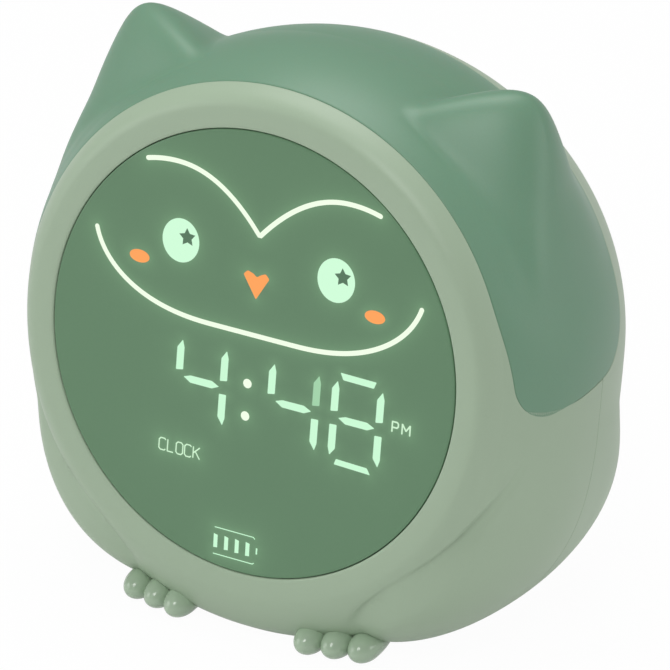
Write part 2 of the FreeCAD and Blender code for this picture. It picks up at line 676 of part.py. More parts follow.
made("light_reflector", arc_sheet(size("reflector_radius"), size("reflector_wall"),
                                  size("reflector_start"), size("front_wall"),
                                  size("reflector_end_depth")), housing)
strip_front = size("strip_depth") - size("strip_width") / 2.0
strip_radius = size("reflector_radius") + size("strip_thickness")
made("light_strip", arc_sheet(strip_radius, size("strip_thickness"), size("strip_start"),
                              strip_front, strip_front + size("strip_width")), housing)
hood_lights = []
span = 180.0 - 2.0 * size("strip_start") - 12.0
count = int(size("hood_led_count"))
for number in range(count):
    angle = 90.0 - span / 2.0 + span * number / (count - 1)
    flat = block(size("hood_led_side"), size("hood_led_height"), 0,
                 strip_radius + size("hood_led_height") / 2.0,
                 size("strip_depth") - size("hood_led_side") / 2.0,
                 size("strip_depth") + size("hood_led_side") / 2.0)
    flat.rotate(V(0, 0, 0), V(0, 1, 0), 90.0 - angle)
    hood_lights.append(flat)
made("hood_leds", Part.makeCompound(hood_lights), housing)


# The pieces behind the back

rear_board = body_of("rear_board", facing(depth=board_back))
outline = sketch_in(rear_board, "board_outline")
rectangle_in(outline, "Sizes.rear_board_width", "Sizes.rear_board_height")
ring_in(outline, "Sizes.speaker_radius + Sizes.speaker_gap", "0", "Sizes.speaker_up")
for across, up in ((1, 1), (-1, 1), (-1, -1), (1, -1)):
    ring_in(outline, "Sizes.board_screw_radius + Sizes.hole_gap",
            "%d * Sizes.rear_screw_across" % across, "%d * Sizes.rear_screw_up" % up)
pad_in(rear_board, outline, "Sizes.board_thickness", "board_plate")

rear_screws = []
for side in (-1, 1):
    for lift in (-1, 1):
        across = side * size("rear_screw_across")
        up = lift * size("rear_screw_up")
        front = board_back - size("board_thickness")
        head = rod(size("board_screw_head"), across, up,
                   front - size("board_screw_head_height"), front)
        rear_screws.append(head.fuse(rod(size("board_screw_radius"), across, up, front,
                                         front + size("board_screw_length"))))
made("rear_board_screws", Part.makeCompound(rear_screws), housing)

plunger_end = board_back + size("switch_height") + size("plunger_height")
switches = []
for label, across, up in key_places:
    switch = block(size("switch_side"), size("switch_side"), across, up, board_back,
                   board_back + size("switch_height"))
    switches.append(switch.fuse(rod(size("plunger_radius"), across, up,
                                    board_back + size("switch_height"), plunger_end)))
made("tact_switches", Part.makeCompound(switches), housing)

for label, across, up in key_places:
    key = body_of(label, housing.multiply(FreeCAD.Placement(V(across, wall_inside, up), rearward)))
    outline = sketch_in(key, label + "_cap_outline")
    rectangle_in(outline, "Sizes.key_width", "Sizes.key_height")
    pad = pad_in(key, outline, "Sizes.rear_wall + Sizes.key_proud", label + "_cap")
    doc.recompute()
    edges = ["Edge%d" % number for number, edge in enumerate(pad.Shape.Edges, 1)
             if abs(edge.tangentAt(edge.FirstParameter).z) > 0.9]
    rounding = key.newObject("PartDesign::Fillet", label + "_corners")
    rounding.Base = (pad, edges)
    rounding.setExpression("Radius", "Sizes.key_round")
    outline = sketch_in(key, label + "_rim_outline", "-Sizes.key_flange_thickness")
    rectangle_in(outline, "Sizes.key_width + 2 * Sizes.key_flange",
                 "Sizes.key_height + 2 * Sizes.key_flange")
    pad_in(key, outline, "Sizes.key_flange_thickness", label + "_rim")
    outline = sketch_in(key, label + "_stem_outline",
                        "-Sizes.key_flange_thickness - Sizes.key_stem_length")
    ring_in(outline, "Sizes.key_stem_radius")
    pad_in(key, outline, "Sizes.key_stem_length", label + "_stem")

socket_end = back_depth - size("socket_sunk")
socket_corner = size("socket_height") / 2.0 - 0.05
inside = 2.0 * size("socket_shell")
socket = block(size("socket_width"), size("socket_height"), 0, size("socket_up"),
               board_back, socket_end, socket_corner)
hollow = block(size("socket_width") - inside, size("socket_height") - inside, 0,
               size("socket_up"), socket_end - size("socket_inside"), socket_end + 1,
               socket_corner - size("socket_shell"))
tongue = block(size("tongue_width"), size("tongue_height"), 0, size("socket_up"),
               socket_end - size("socket_inside") - 0.5, socket_end - 1.5)
made("charging_socket", socket.cut(hollow).fuse(tongue), housing)

gasket_front = wall_inside - size("gasket_thickness")
gasket = body_of("speaker_gasket", facing(up=size("speaker_up"), depth=wall_inside))
outline = sketch_in(gasket, "gasket_outline")
ring_in(outline, "Sizes.speaker_radius")
ring_in(outline, "Sizes.speaker_radius - Sizes.gasket_width")
pad_in(gasket, outline, "Sizes.gasket_thickness", "gasket_ring")

frame_front = gasket_front - size("speaker_frame")
basket_front = frame_front - size("speaker_basket")
radius = size("speaker_radius")
cone = size("magnet_radius") + 1.0
speaker_profile = Part.makePolygon([
    V(0, gasket_front - 4.0, 0), V(3.5, gasket_front - 4.0, 0), V(radius - 2.0, gasket_front - 1.0, 0),
    V(radius - 1.2, gasket_front, 0), V(radius, gasket_front, 0), V(radius, frame_front, 0),
    V(radius - 1.5, frame_front, 0), V(cone, basket_front, 0), V(size("magnet_radius"), basket_front, 0),
    V(size("magnet_radius"), basket_front - size("magnet_depth"), 0),
    V(0, basket_front - size("magnet_depth"), 0), V(0, gasket_front - 4.0, 0)])
speaker = Part.Face(speaker_profile).revolve(V(0, 0, 0), V(0, 1, 0), 360)
speaker.translate(V(0, 0, size("speaker_up")))
made("speaker", speaker, housing)

made("housing_screws", Part.makeCompound([
    screw(across, up, seat, parting - size("screw_bite"), size("screw_radius"),
          size("screw_head_radius"), size("screw_head_height"))
    for across, up in post_places]), housing)


# The feet: three round toes before a long low sole, drawn upright

ground = -size("ground_drop")
toe = size("toe_radius")
body_upright = shell_outer.copy()
body_upright.Placement = housing
toes = []
for number in range(3):
    centre = V(size("inner_toe_across") + number * size("toe_pitch"),
               number * size("toe_step") - size("inner_toe_front"), ground + toe + 0.1)
    tail = V(0, size("foot_length") / 4.0, 0)
    nose = Part.Arc(V(0, -toe, 0), V(toe * math.sqrt(0.5), -toe * math.sqrt(0.5), 0), V(toe, 0, 0))
    sides = Part.makePolygon([V(toe, 0, 0), tail + V(toe * 0.6, 0, 0), tail, V(0, -toe, 0)])
    drop = Part.Face(Part.Wire([nose.toShape()] + sides.Edges))
    drop = drop.revolve(V(0, 0, 0), V(0, 1, 0), 360)
    drop.translate(centre)
    toes.append(drop)
inner_edge = size("inner_toe_across") - toe + 1.0
outer_edge = inner_edge + 2 * size("toe_pitch") + 2 * toe - 2.0
heel = (inner_edge + outer_edge) / 2.0
heel_back = size("foot_length") - size("inner_toe_front") - toe
plan = [V(inner_edge, 0, ground), V(outer_edge, 0, ground),
        V(heel + size("heel_width") / 2, heel_back, ground),
        V(heel - size("heel_width") / 2, heel_back, ground)]
sole = Part.Face(Part.makePolygon(plan + plan[:1])).extrude(V(0, 0, 2 * toe + 3.0))
uprights = [edge for edge in sole.Edges if abs(edge.tangentAt(edge.FirstParameter).z) > 0.9
            and edge.CenterOfMass.y > 1.0]
sole = sole.makeFillet(size("heel_width") / 2 - 0.5, uprights)
rim = [edge for edge in sole.Edges if edge.BoundBox.ZMax < ground + 1e-6]
sole = sole.makeChamfer(size("sole_round") / 2, rim)
foot = sole.fuse(toes).cut(body_upright)
right_foot = max(foot.Solids, key=lambda solid: solid.Volume)
made("right_foot", right_foot, FreeCAD.Placement())
made("left_foot", right_foot.mirror(V(0, 0, 0), V(1, 0, 0)), FreeCAD.Placement())


# Stand the clock on the origin, check every piece and write it

doc.recompute()
everything = Part.makeCompound([piece.Shape for piece in pieces])
limits = everything.optimalBoundingBox(False, False)
shift = V(0, -limits.Center.y, -limits.ZMin)
for piece in pieces:
    piece.Placement = FreeCAD.Placement(shift, FreeCAD.Rotation()).multiply(piece.Placement)
doc.recompute()

for item in doc.Objects:
    if "Invalid" in item.State or "Error" in item.State:
        raise RuntimeError("%s did not build: %s" % (item.Label, item.State))
os.makedirs("parts", exist_ok=True)
for piece in pieces:
    if piece.Shape.isNull() or not piece.Shape.isValid():
        raise RuntimeError("%s has no sound shape" % piece.Label)
    piece.Shape.exportStep("parts/%s.step" % piece.Label)
    print("%-20s %8.1f mm3, %d solids" % (piece.Label, piece.Shape.Volume, len(piece.Shape.Solids)))
print("lens centre at", shift)
print("overall", limits.XLength, limits.YLength, limits.ZLength)
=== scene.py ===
import math

import bpy
import numpy as np
from mathutils import Matrix, Vector
from mathutils.geometry import delaunay_2d_cdt


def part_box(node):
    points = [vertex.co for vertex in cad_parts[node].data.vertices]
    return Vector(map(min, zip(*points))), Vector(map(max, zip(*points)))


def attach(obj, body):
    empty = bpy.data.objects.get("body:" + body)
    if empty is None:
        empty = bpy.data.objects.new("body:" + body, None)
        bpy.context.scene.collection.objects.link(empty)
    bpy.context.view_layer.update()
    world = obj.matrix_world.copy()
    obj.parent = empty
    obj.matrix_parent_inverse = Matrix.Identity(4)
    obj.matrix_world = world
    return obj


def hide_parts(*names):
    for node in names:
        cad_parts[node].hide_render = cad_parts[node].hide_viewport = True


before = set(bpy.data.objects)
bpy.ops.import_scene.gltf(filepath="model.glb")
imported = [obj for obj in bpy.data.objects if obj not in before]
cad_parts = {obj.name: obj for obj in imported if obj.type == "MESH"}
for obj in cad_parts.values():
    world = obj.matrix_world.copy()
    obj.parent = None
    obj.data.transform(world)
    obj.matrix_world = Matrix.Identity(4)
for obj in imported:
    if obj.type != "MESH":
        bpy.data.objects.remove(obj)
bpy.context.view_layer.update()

# Where the clock stands.
# The face leans back from upright. Every moulding is drawn in millimetres about the middle of
# the round display: across, up along the face, and depth behind the crest of the bezel.
LEAN = math.radians(8.2)
PER_METRE = 1000
LENS_FACE_DEPTH = 0.3
LENS_THICKNESS = 1.6
lens_low, lens_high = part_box("display_lens")
lens_middle = np.array((lens_low + lens_high) / 2)
lens_middle_depth = (LENS_FACE_DEPTH + LENS_THICKNESS / 2) / PER_METRE
face_middle = lens_middle - lens_middle_depth * np.array([0, math.cos(LEAN), -math.sin(LEAN)])


def placed(across, up, depth):
    """Frame coordinates in metres: up and depth turned back by the lean about the middle of the
    display, then moved to where the lens stands."""
    across, up, depth = np.broadcast_arrays(across, up, depth)
    back = up * math.sin(LEAN) + depth * math.cos(LEAN)
    rise = up * math.cos(LEAN) - depth * math.sin(LEAN)
    return np.stack([across, back, rise], -1) / PER_METRE + face_middle


# The body form.
# The egg of the body: a bezel that rolls out from its crest, an arc to the widest place, a
# second arc behind it and a round corner into the flat back. The lower half hangs and squares.
CREST_RADIUS = 49.0
SEAM_RADIUS = 53.6
SEAM_DEPTH = 4.2
BEZEL_ROUNDNESS = 0.45
WIDEST_RADIUS = 60.4
WIDEST_DEPTH = 27.5
BACK_DEPTH = 73.5
BACK_CORNER = 10.0
BACK_RADIUS = 31.6
CROWN_DROP = 2.3
BASE_DROP = 59.3
CHIN_DROP = 3.4
BASE_SQUARENESS = 1.2


def side_reach(depth):
    """Half width at a depth: crest plus a power of the depth up to the seam, then a circle
    through the seam that is widest at its depth, a circle that meets the corner round behind it,
    and the corner round itself."""
    bezel = CREST_RADIUS + (SEAM_RADIUS - CREST_RADIUS) * (
        np.clip(depth / SEAM_DEPTH, 0, 1) ** BEZEL_ROUNDNESS)
    rise = WIDEST_RADIUS - SEAM_RADIUS
    run = WIDEST_DEPTH - SEAM_DEPTH
    front = (run * run + rise * rise) / (2 * rise)
    swell = WIDEST_RADIUS - front + np.sqrt(
        np.maximum(front ** 2 - (WIDEST_DEPTH - depth) ** 2, 0))
    corner_depth = BACK_DEPTH - BACK_CORNER
    fall = WIDEST_RADIUS - BACK_CORNER - BACK_RADIUS
    reach = corner_depth - WIDEST_DEPTH
    rear = (fall * fall + reach * reach) / (2 * fall) + BACK_CORNER
    touch = WIDEST_DEPTH + reach * rear / (rear - BACK_CORNER)
    closing = WIDEST_RADIUS - rear + np.sqrt(
        np.maximum(rear ** 2 - (depth - WIDEST_DEPTH) ** 2, 0))
    corner = BACK_RADIUS + np.sqrt(np.maximum(BACK_CORNER ** 2 - (depth - corner_depth) ** 2, 0))
    return np.select([depth < SEAM_DEPTH, depth < WIDEST_DEPTH, depth < touch],
                     [bezel, swell, closing], corner)


def body_reach(angle, depth):
    """Distance of the body from the display axis: an ellipse above the axis and, below it, a
    squarer one that stops at the level underside."""
    half = side_reach(depth)
    blend = np.clip((depth - SEAM_DEPTH) / (WIDEST_DEPTH - SEAM_DEPTH), 0, 1)
    top = half - CROWN_DROP * blend
    level = (BASE_DROP - depth * math.sin(LEAN)) / math.cos(LEAN)
    low = np.minimum(half + CHIN_DROP * np.clip(depth / SEAM_DEPTH, 0, 1), level)
    run = np.clip((depth - SEAM_DEPTH) / (BACK_DEPTH - SEAM_DEPTH), 0, 1)
    square = 2 + BASE_SQUARENESS * np.sin(np.pi * run)
    across = np.abs(np.cos(angle)) / half
    height = np.sin(angle)
    upper = (across ** 2 + (height / top) ** 2) ** -0.5
    lower = (across ** square + np.abs(height / low) ** square) ** (-1 / square)
    return np.where(height > 0, upper, lower)


def joined(first, second, softness):
    """The larger of two distances, and where they come within this width of each other a little
    more, so that the crease between them is round."""
    close = np.maximum(softness - np.abs(first - second), 0) / softness
    return np.maximum(first, second) + close ** 2 * softness / 4


# The folded wings.
# Each is a long soft pad moulded on the side, from its rounded tip low in front to where it
# fades under the hood. It is given by angle, depth of front crease and rear edge, and crest.
WING = np.array([
    (-71.0, 7.0, 24.0, 60.6),
    (-61.0, 3.0, 38.0, 64.4),
    (-49.0, 1.7, 54.0, 67.2),
    (-34.0, 3.4, 60.0, 65.4),
    (-18.0, 6.9, 58.0, 62.4),
    (-4.0, 11.5, 52.0, 60.4),
])
WING_THICKNESS, WING_SQUARENESS = 13.0, 2.2
WING_TOP, WING_FADE, WING_RUN_ON = -12.0, 15.0, 6.0
WING_TIP, TIP_ROUND = -62.0, 8.0
WING_DROP = 40.0
CREASE_SINK, CREASE_WIDTH, CREASE_SET = 1.3, 0.9, 0.5
CREASE_TOP, CREASE_FADE, CREASE_TIP = -10.0, 14.0, -66.0


def slope(angle):
    """Degrees above the level on either side: -90 under the clock, 90 at the crown."""
    return np.degrees(np.arctan2(np.sin(angle), np.abs(np.cos(angle))))


def wing_reach(angle, depth):
    """Distance of the wing from the axis, and the depth of the crease before it. The wing is a
    superellipse in depth under its crest, whose crest, front and rear follow smooth curves
    through the stations, closed by round ends; the crease is a bell along the front edge."""
    degrees = slope(angle)
    held = np.clip(degrees, WING[0, 0], WING[-1, 0] + WING_RUN_ON)
    front, rear, crest = [np.polyval(np.polyfit(WING[:, 0], WING[:, column], 4), held)
                          for column in (1, 2, 3)]
    aside = np.abs(depth - (front + rear) / 2) / ((rear - front) / 2)
    beyond = (np.maximum(degrees - WING_TOP, 0) / WING_FADE
              + np.maximum(WING_TIP - degrees, 0) / TIP_ROUND)
    inside = 1 - aside ** WING_SQUARENESS - beyond ** WING_SQUARENESS
    full = np.maximum(inside, 0) ** (1 / WING_SQUARENESS)
    along = (np.clip((CREASE_TOP - degrees) / CREASE_FADE, 0, 1)
             * np.clip((degrees - CREASE_TIP) / TIP_ROUND, 0, 1))
    crease = CREASE_SINK * along * np.exp(-((depth - front - CREASE_SET) / CREASE_WIDTH) ** 2)
    return crest - WING_THICKNESS * (1 - full) - WING_DROP * np.clip(-inside, 0, 1), crease


# The ears.
# Each is a soft rounded triangle that rises from the hood to a crest and runs out behind. Its
# outline leans outwards and down with depth.
EAR_TIP = np.array([48.4, 64.2])
EAR_FOOT = np.array([55.0, 18.0])
EAR_NOTCH = np.array([22.0, 50.2])
EAR_SLANT = np.array([0.02, -0.32])
EAR_FRONT_DEPTH, EAR_FRONT_RADIUS = 11.0, 57.0
EAR_CREST_DEPTH, EAR_CREST_RADIUS = 23.2, 79.0
EAR_REAR_DEPTH, EAR_FALL, EAR_FALL_POWER = 44.0, 25.0, 1.1
EAR_SHARPNESS, LEAST_REACH, LEAST_FACING = 12.0, 20.0, 0.2
EAR_END, EAR_END_RUN, EAR_END_DROP = 30.0, 24.0, 10.0


def ear_reach(angle, depth):
    """Distance of the ear from the axis: the nearest of its two slanted outline edges, of a ring
    that climbs in front and of one that falls away behind, blended as a power mean so that all
    its ridges are broad and soft."""
    across, up = np.abs(np.cos(angle)), np.sin(angle)
    edges = []
    for start, end in ((EAR_NOTCH, EAR_TIP), (EAR_TIP, EAR_FOOT)):
        normal = np.array([(start - end)[1], (end - start)[0]])
        normal = normal / np.linalg.norm(normal)
        toward = across * normal[0] + up * normal[1]
        offset = start @ normal + (depth - EAR_CREST_DEPTH) * (EAR_SLANT @ normal)
        edges.append(offset / np.maximum(toward, LEAST_FACING))
    climb = EAR_FRONT_RADIUS + (EAR_CREST_RADIUS - EAR_FRONT_RADIUS) * (
        (depth - EAR_FRONT_DEPTH) / (EAR_CREST_DEPTH - EAR_FRONT_DEPTH))
    behind = np.maximum(depth - EAR_CREST_DEPTH, 0) / (EAR_REAR_DEPTH - EAR_CREST_DEPTH)
    fall = EAR_CREST_RADIUS - EAR_FALL * behind ** EAR_FALL_POWER
    limits = np.maximum(np.stack(np.broadcast_arrays(*edges, climb, fall)), LEAST_REACH)
    blended = (limits ** -EAR_SHARPNESS).sum(axis=0) ** (-1 / EAR_SHARPNESS)
    low = np.clip((EAR_END - slope(angle)) / EAR_END_RUN, 0, 2)
    return blended - EAR_END_DROP * low ** 2


# The fold in the flank of the hood, and how softly wings and ears grow out of the body.
FOLD_DEPTH, FOLD_WIDTH, FOLD_SINK = 11.9, 1.9, 0.9
FOLD_LOW, FOLD_HIGH, FOLD_FADE = 20.0, 66.0, 12.0
WING_JOIN, EAR_JOIN, EAR_JOIN_GROWTH = 0.6, 1.5, 4.5
EAR_JOIN_TOP, EAR_JOIN_RUN = 58.0, 25.0


def skin_reach(angle, depth):
    """The outer surface of all the mouldings: body, wings and ears grown together, with a soft
    fold in the flank of the hood from each ear down towards the lobe. The ear's join to the
    body gets rounder lower down."""
    degrees = slope(angle)
    flank = (np.clip((degrees - FOLD_LOW) / FOLD_FADE, 0, 1)
             * np.clip((FOLD_HIGH - degrees) / FOLD_FADE, 0, 1))
    fold = FOLD_SINK * flank * np.exp(-((depth - FOLD_DEPTH) / FOLD_WIDTH) ** 2)
    wing, crease = wing_reach(angle, depth)
    grown = joined(body_reach(angle, depth), wing, WING_JOIN) - crease - fold
    softness = EAR_JOIN + EAR_JOIN_GROWTH * np.clip((EAR_JOIN_TOP - degrees) / EAR_JOIN_RUN, 0, 1)
    return joined(grown, ear_reach(angle, depth), softness)


# The seams.
# Seen from the side, the hood comes down over the shells as a round lobe. Its edge goes down
# the back of the bezel, round under the lobe, and up again behind the ears.
LOBE_CORNERS = [(SEAM_DEPTH, 44.0), (SEAM_DEPTH, 18.3), (7.4, -3.6), (44.3, 3.5), (44.3, 40.0)]
LOBE_ROUNDS = (60.0, 8.0, 14.0)
PARTING_DEPTH = 32.0
SEAM_ROUND = 0.3
WALL = 1.8
HOOD_FRONT_CORNER, HOOD_REAR_CORNER = (9.2, -1.2), (40.2, 7.0)
TYPICAL_REACH = 58.0


def rounded_path(corners, rounds, step=0.1):
    """A chain of straight runs whose corners are arcs that touch both runs."""
    corners = np.array(corners, float)
    chain = [corners[:1]]
    for number, radius in enumerate(rounds, 1):
        before, corner, after = corners[number - 1:number + 2]
        into = (before - corner) / np.linalg.norm(before - corner)
        away = (after - corner) / np.linalg.norm(after - corner)
        half = math.acos(np.clip(into @ away, -1, 1)) / 2
        middle = corner + (into + away) / np.linalg.norm(into + away) * radius / math.sin(half)
        turn = np.linspace(-(math.pi / 2 - half), math.pi / 2 - half, 60)
        axis = (corner - middle) / np.linalg.norm(corner - middle)
        aside = np.array([-axis[1], axis[0]])
        if aside @ into < 0:
            aside = -aside
        chain.append(middle + radius * (np.cos(turn)[:, None] * axis
                                        - np.sin(turn)[:, None] * aside))
    chain.append(corners[-1:])
    chain = np.concatenate(chain)
    length = np.concatenate([[0], np.cumsum(np.linalg.norm(np.diff(chain, axis=0), axis=1))])
    places = np.arange(0, length[-1], step)
    return np.stack([np.interp(places, length, chain[:, column]) for column in (0, 1)], -1)


def on_skin(path):
    """Angles and depths of a side-view path of depth and height, where it lies on the body. The
    sine of the angle is the height over the reach there, found by repeating a first guess."""
    depth, height = path[:, 0], path[:, 1]
    angle = np.arcsin(np.clip(height / 60, -1, 1))
    for _ in range(30):
        angle = np.arcsin(np.clip(height / body_reach(angle, depth), -1, 1))
    return np.stack([angle, depth], -1)


def level_run(start, end, depth, count=900):
    """Angles from a start to an end at one depth."""
    return np.stack([np.linspace(start, end, count), np.full(count, depth)], -1)


def measured(curve):
    """Running length in millimetres along a curve of angles and depths."""
    steps = np.diff(curve, axis=0) * [TYPICAL_REACH, 1.0]
    return np.concatenate([[0], np.cumsum(np.linalg.norm(steps, axis=1))])


def spaced(curve, places):
    """Points of a curve at these shares of its length."""
    length = measured(curve)
    return np.stack([np.interp(np.asarray(places) * length[-1], length, curve[:, column])
                     for column in (0, 1)], -1)


def graded(length, step, ends=(True, True)):
    """Shares of a length at an even step, with close rows by the edges that have a seam."""
    fine, plain = np.array([0.0, 0.06, 0.14, 0.24, 0.36, 0.5, 0.8]), np.array([0.0, 0.6])
    places = np.linspace(1.2, length - 1.2, int((length - 2.4) / step))
    start, end = [fine if seam else plain for seam in ends]
    return np.concatenate([start, places, length - end[::-1]]) / length


def evened(line):
    """Shares from 0 to 1 along a line of angles and depths, by how far it has turned and, less,
    by how far it has gone back."""
    steps = np.abs(np.diff(line, axis=0)) @ [1.0, 0.012]
    run = np.concatenate([[0], np.cumsum(steps)])
    return run / run[-1]


def seam_sink(distance):
    """How far an edge sinks into its seam: a quarter round as wide as it is deep."""
    inside = np.clip(SEAM_ROUND - distance, 0, SEAM_ROUND)
    return SEAM_ROUND - np.sqrt(SEAM_ROUND ** 2 - inside ** 2)


def nearest_on(line, place):
    """Number of the point of a line of angles and depths nearest to a depth and height."""
    return int(np.argmin(np.hypot(line[:, 1] - place[0], line[:, 0] * TYPICAL_REACH - place[1])))


lobe = on_skin(rounded_path(LOBE_CORNERS, LOBE_ROUNDS))
front_corner = nearest_on(lobe, HOOD_FRONT_CORNER)
rear_corner = nearest_on(lobe, HOOD_REAR_CORNER)
parting_corner = int(np.argmin(np.abs(lobe[:rear_corner, 1] - PARTING_DEPTH)))
crown_front = level_run(lobe[0, 0], math.pi / 2, SEAM_DEPTH)
crown_rear = level_run(lobe[-1, 0], math.pi / 2, lobe[-1, 1])


def both_sides(angle, depth, sink):
    """The right half of a moulding and its mirror image, side by side."""
    sink = np.broadcast_to(sink, angle.shape)
    angle, depth, sink = [
        np.concatenate([half, mirrored[:, ::-1]], axis=1)
        for half, mirrored in ((angle, math.pi - angle), (depth, depth), (sink, sink))]
    reach = skin_reach(angle, depth) - sink
    return reach * np.cos(angle), reach * np.sin(angle), depth


def inner_wall(angle, depth, front=-math.inf, rear=math.inf):
    """The inside of a moulding: one wall under the skin, by every third row in backward order,
    held between a front and a rear depth."""
    return both_sides(angle[::-3], np.clip(depth[::-3], front, rear), WALL)


def closed(*surfaces):
    """Surfaces one after another, row by row, and round to the first row again."""
    return [np.concatenate([*rows, rows[0][:1]]) for rows in zip(*surfaces)]


# Front shell.
# One moulding of sage plastic with a fine spark-eroded grain: the ring round the display, the
# chin and the fronts of both wings, down to a level base. Its bezel rolls in over the lens.
LENS_RADIUS = 45.0
FRONT_WALL = 3.6
FRONT_RUN, FRONT_EASE = 40.0, 1.7
PARTING_SHARE = 0.35  # the shells meet each other in a finer seam than the hood's
GRAIN_GLOSS, GRAIN_STRENGTH = 0.04, 0.6


def node_in(tree, kind, settings=None, values=None):
    """A node of this kind with its settings made first, then its sockets filled or linked."""
    node = tree.nodes.new(kind)
    for setting, value in (settings or {}).items():
        setattr(node, setting, value)
    for socket, value in (values or {}).items():
        if isinstance(value, bpy.types.NodeSocket):
            tree.links.new(value, node.inputs[socket])
        else:
            node.inputs[socket].default_value = value
    return node


class Amount:
    """A number that varies over a surface. Arithmetic on it adds Math nodes."""

    def __init__(self, finish, socket):
        self.finish = finish
        self.socket = socket

    def _worked(self, operation, first, second):
        values = {}
        for place, value in enumerate((first, second)):
            values[place] = value.socket if isinstance(value, Amount) else value
        node = self.finish.node("ShaderNodeMath", {"operation": operation}, values)
        return Amount(self.finish, node.outputs[0])

    def __add__(self, other):
        return self._worked("ADD", self, other)

    def __radd__(self, other):
        return self._worked("ADD", other, self)

    def __sub__(self, other):
        return self._worked("SUBTRACT", self, other)

    def __rsub__(self, other):
        return self._worked("SUBTRACT", other, self)

    def __mul__(self, other):
        return self._worked("MULTIPLY", self, other)

    def __rmul__(self, other):
        return self._worked("MULTIPLY", other, self)


class Finish:
    """A material whose nodes all come from one method and end in one Principled surface."""

    def __init__(self, name, colour, roughness, **constants):
        self.material = bpy.data.materials.new(name)
        self.material.use_nodes = True
        self.tree = self.material.node_tree
        self.surface = self.tree.nodes["Principled BSDF"]
        self.colour = linear(colour)
        self.surface.inputs["Base Color"].default_value = self.colour
        self.surface.inputs["Roughness"].default_value = roughness
        for socket, value in constants.items():
            self.surface.inputs[socket.replace("_", " ")].default_value = value

    def node(self, kind, settings=None, values=None):
        """A new node of this material."""
        return node_in(self.tree, kind, settings, values)

    def feed(self, socket, value):
        """Leads a varying value into a socket of the surface."""
        value = value.socket if isinstance(value, Amount) else value
        self.tree.links.new(value, self.surface.inputs[socket])

    def noise(self, per_metre):
        """Cloudy variation from 0 to 1 with this many clouds to the metre, fixed to the piece."""
        place = self.node("ShaderNodeTexCoord").outputs["Object"]
        node = self.node("ShaderNodeTexNoise", None,
                         {"Vector": place, "Scale": per_metre, "Detail": 2.0})
        return Amount(self, node.outputs["Fac"])

    def blended(self, amount, low, high):
        """A colour that goes from a low one to a high one by an amount from 0 to 1."""
        mix = self.node("ShaderNodeMix", {"data_type": "RGBA"},
                        {"Factor": amount.socket, "A": low, "B": high})
        return mix.outputs["Result"]

    def grained(self, spread=0.02, depth=0.00002, per_metre=2600.0):
        """Moulded grain: fine noise in the tint, the gloss and the relief."""
        fine = self.noise(per_metre)
        low = [channel * (1 - spread) for channel in self.colour[:3]] + [1]
        high = [min(channel * (1 + spread), 1) for channel in self.colour[:3]] + [1]
        self.feed("Base Color", self.blended(fine, low, high))
        roughness = self.surface.inputs["Roughness"].default_value
        self.feed("Roughness", (fine - 0.5) * GRAIN_GLOSS + roughness)
        bump = self.node("ShaderNodeBump", None, {"Strength": GRAIN_STRENGTH, "Distance": depth,
                                                  "Height": fine.socket})
        self.feed("Normal", bump.outputs["Normal"])
        return self


def linear(colour):
    """A display colour from 0 to 255 as the linear colour that a shader takes."""
    share = np.array(colour[:3], float) / 255
    return list(np.where(share <= 0.04045, share / 12.92, ((share + 0.055) / 1.055) ** 2.4)) + [1.0]


def piece(name, points, faces, inside, finish, slot, body="root", nodes=(), smooth=True):
    """Puts points in metres and faces into a mesh. Points that share a place are merged, faces
    that shrink to nothing go, and all are turned away from the inside point."""
    keys = np.round(points * 1e7).astype(np.int64)
    first, merged = np.unique(keys, axis=0, return_index=True, return_inverse=True)[1:]
    points = points[first]
    merged = merged.ravel()
    sides = []
    for group in faces:
        group = merged[np.asarray(group)]
        same = group == np.roll(group, -1, axis=1)
        whole = group[~same.any(axis=1)]
        sides += whole.tolist()
        if group.shape[1] == 4:
            single = same.sum(axis=1) == 1
            sides += group[single][~same[single]].reshape(-1, 3).tolist()
    corners = np.array([side[:3] for side in sides])
    a, b, c = points[corners[:, 0]], points[corners[:, 1]], points[corners[:, 2]]
    facing = np.einsum("ij,ij->", np.cross(b - a, c - a), (a + b + c) / 3 - np.asarray(inside))
    if facing < 0:
        sides = [side[::-1] for side in sides]
    mesh = bpy.data.meshes.new(name)
    mesh.from_pydata(points.tolist(), [], sides)
    mesh.polygons.foreach_set("use_smooth", [smooth] * len(mesh.polygons))
    mesh.materials.append(finish.material)
    made = bpy.data.objects.new(name, mesh)
    bpy.context.scene.collection.objects.link(made)
    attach(made, body)
    if nodes:
        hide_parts(*nodes)
    return made


def grid_faces(rows, columns):
    """The quads between neighbouring rows and columns of a grid of points."""
    number = np.arange(rows * columns).reshape(rows, columns)
    return np.stack([number[:-1, :-1], number[1:, :-1], number[1:, 1:], number[:-1, 1:]],
                    -1).reshape(-1, 4)


def grid_piece(name, points, *rest, **named):
    """A piece made of one grid of points."""
    return piece(name, points.reshape(-1, 3), [grid_faces(*points.shape[:2])], *rest, **named)


sage = Finish("shell_sage", (163, 183, 158), 0.42, IOR=1.46).grained()
housing_middle = placed(0, 0, 33)
end_curve = np.concatenate([
    crown_front[::-1], lobe[:parting_corner + 1],
    level_run(lobe[parting_corner, 0], -math.pi / 2, PARTING_DEPTH)])
end_line = spaced(end_curve, graded(measured(end_curve)[-1], 0.74, ends=(False, False)))
start_angle = math.pi / 2 - math.pi * evened(end_line)
rows = graded(FRONT_RUN, 0.6, ends=(False, True))[:, None]
eased = rows ** FRONT_EASE
angle = start_angle + (end_line[:, 0] - start_angle) * eased
depth = end_line[:, 1] * eased
run = np.hypot((end_line[:, 0] - start_angle) * TYPICAL_REACH, end_line[:, 1])
seam_share = np.where(end_line[:, 1] > PARTING_DEPTH - 0.05, PARTING_SHARE, 1.0)
outer = both_sides(angle, depth, seam_sink((1 - rows) * FRONT_EASE * run) * seam_share)
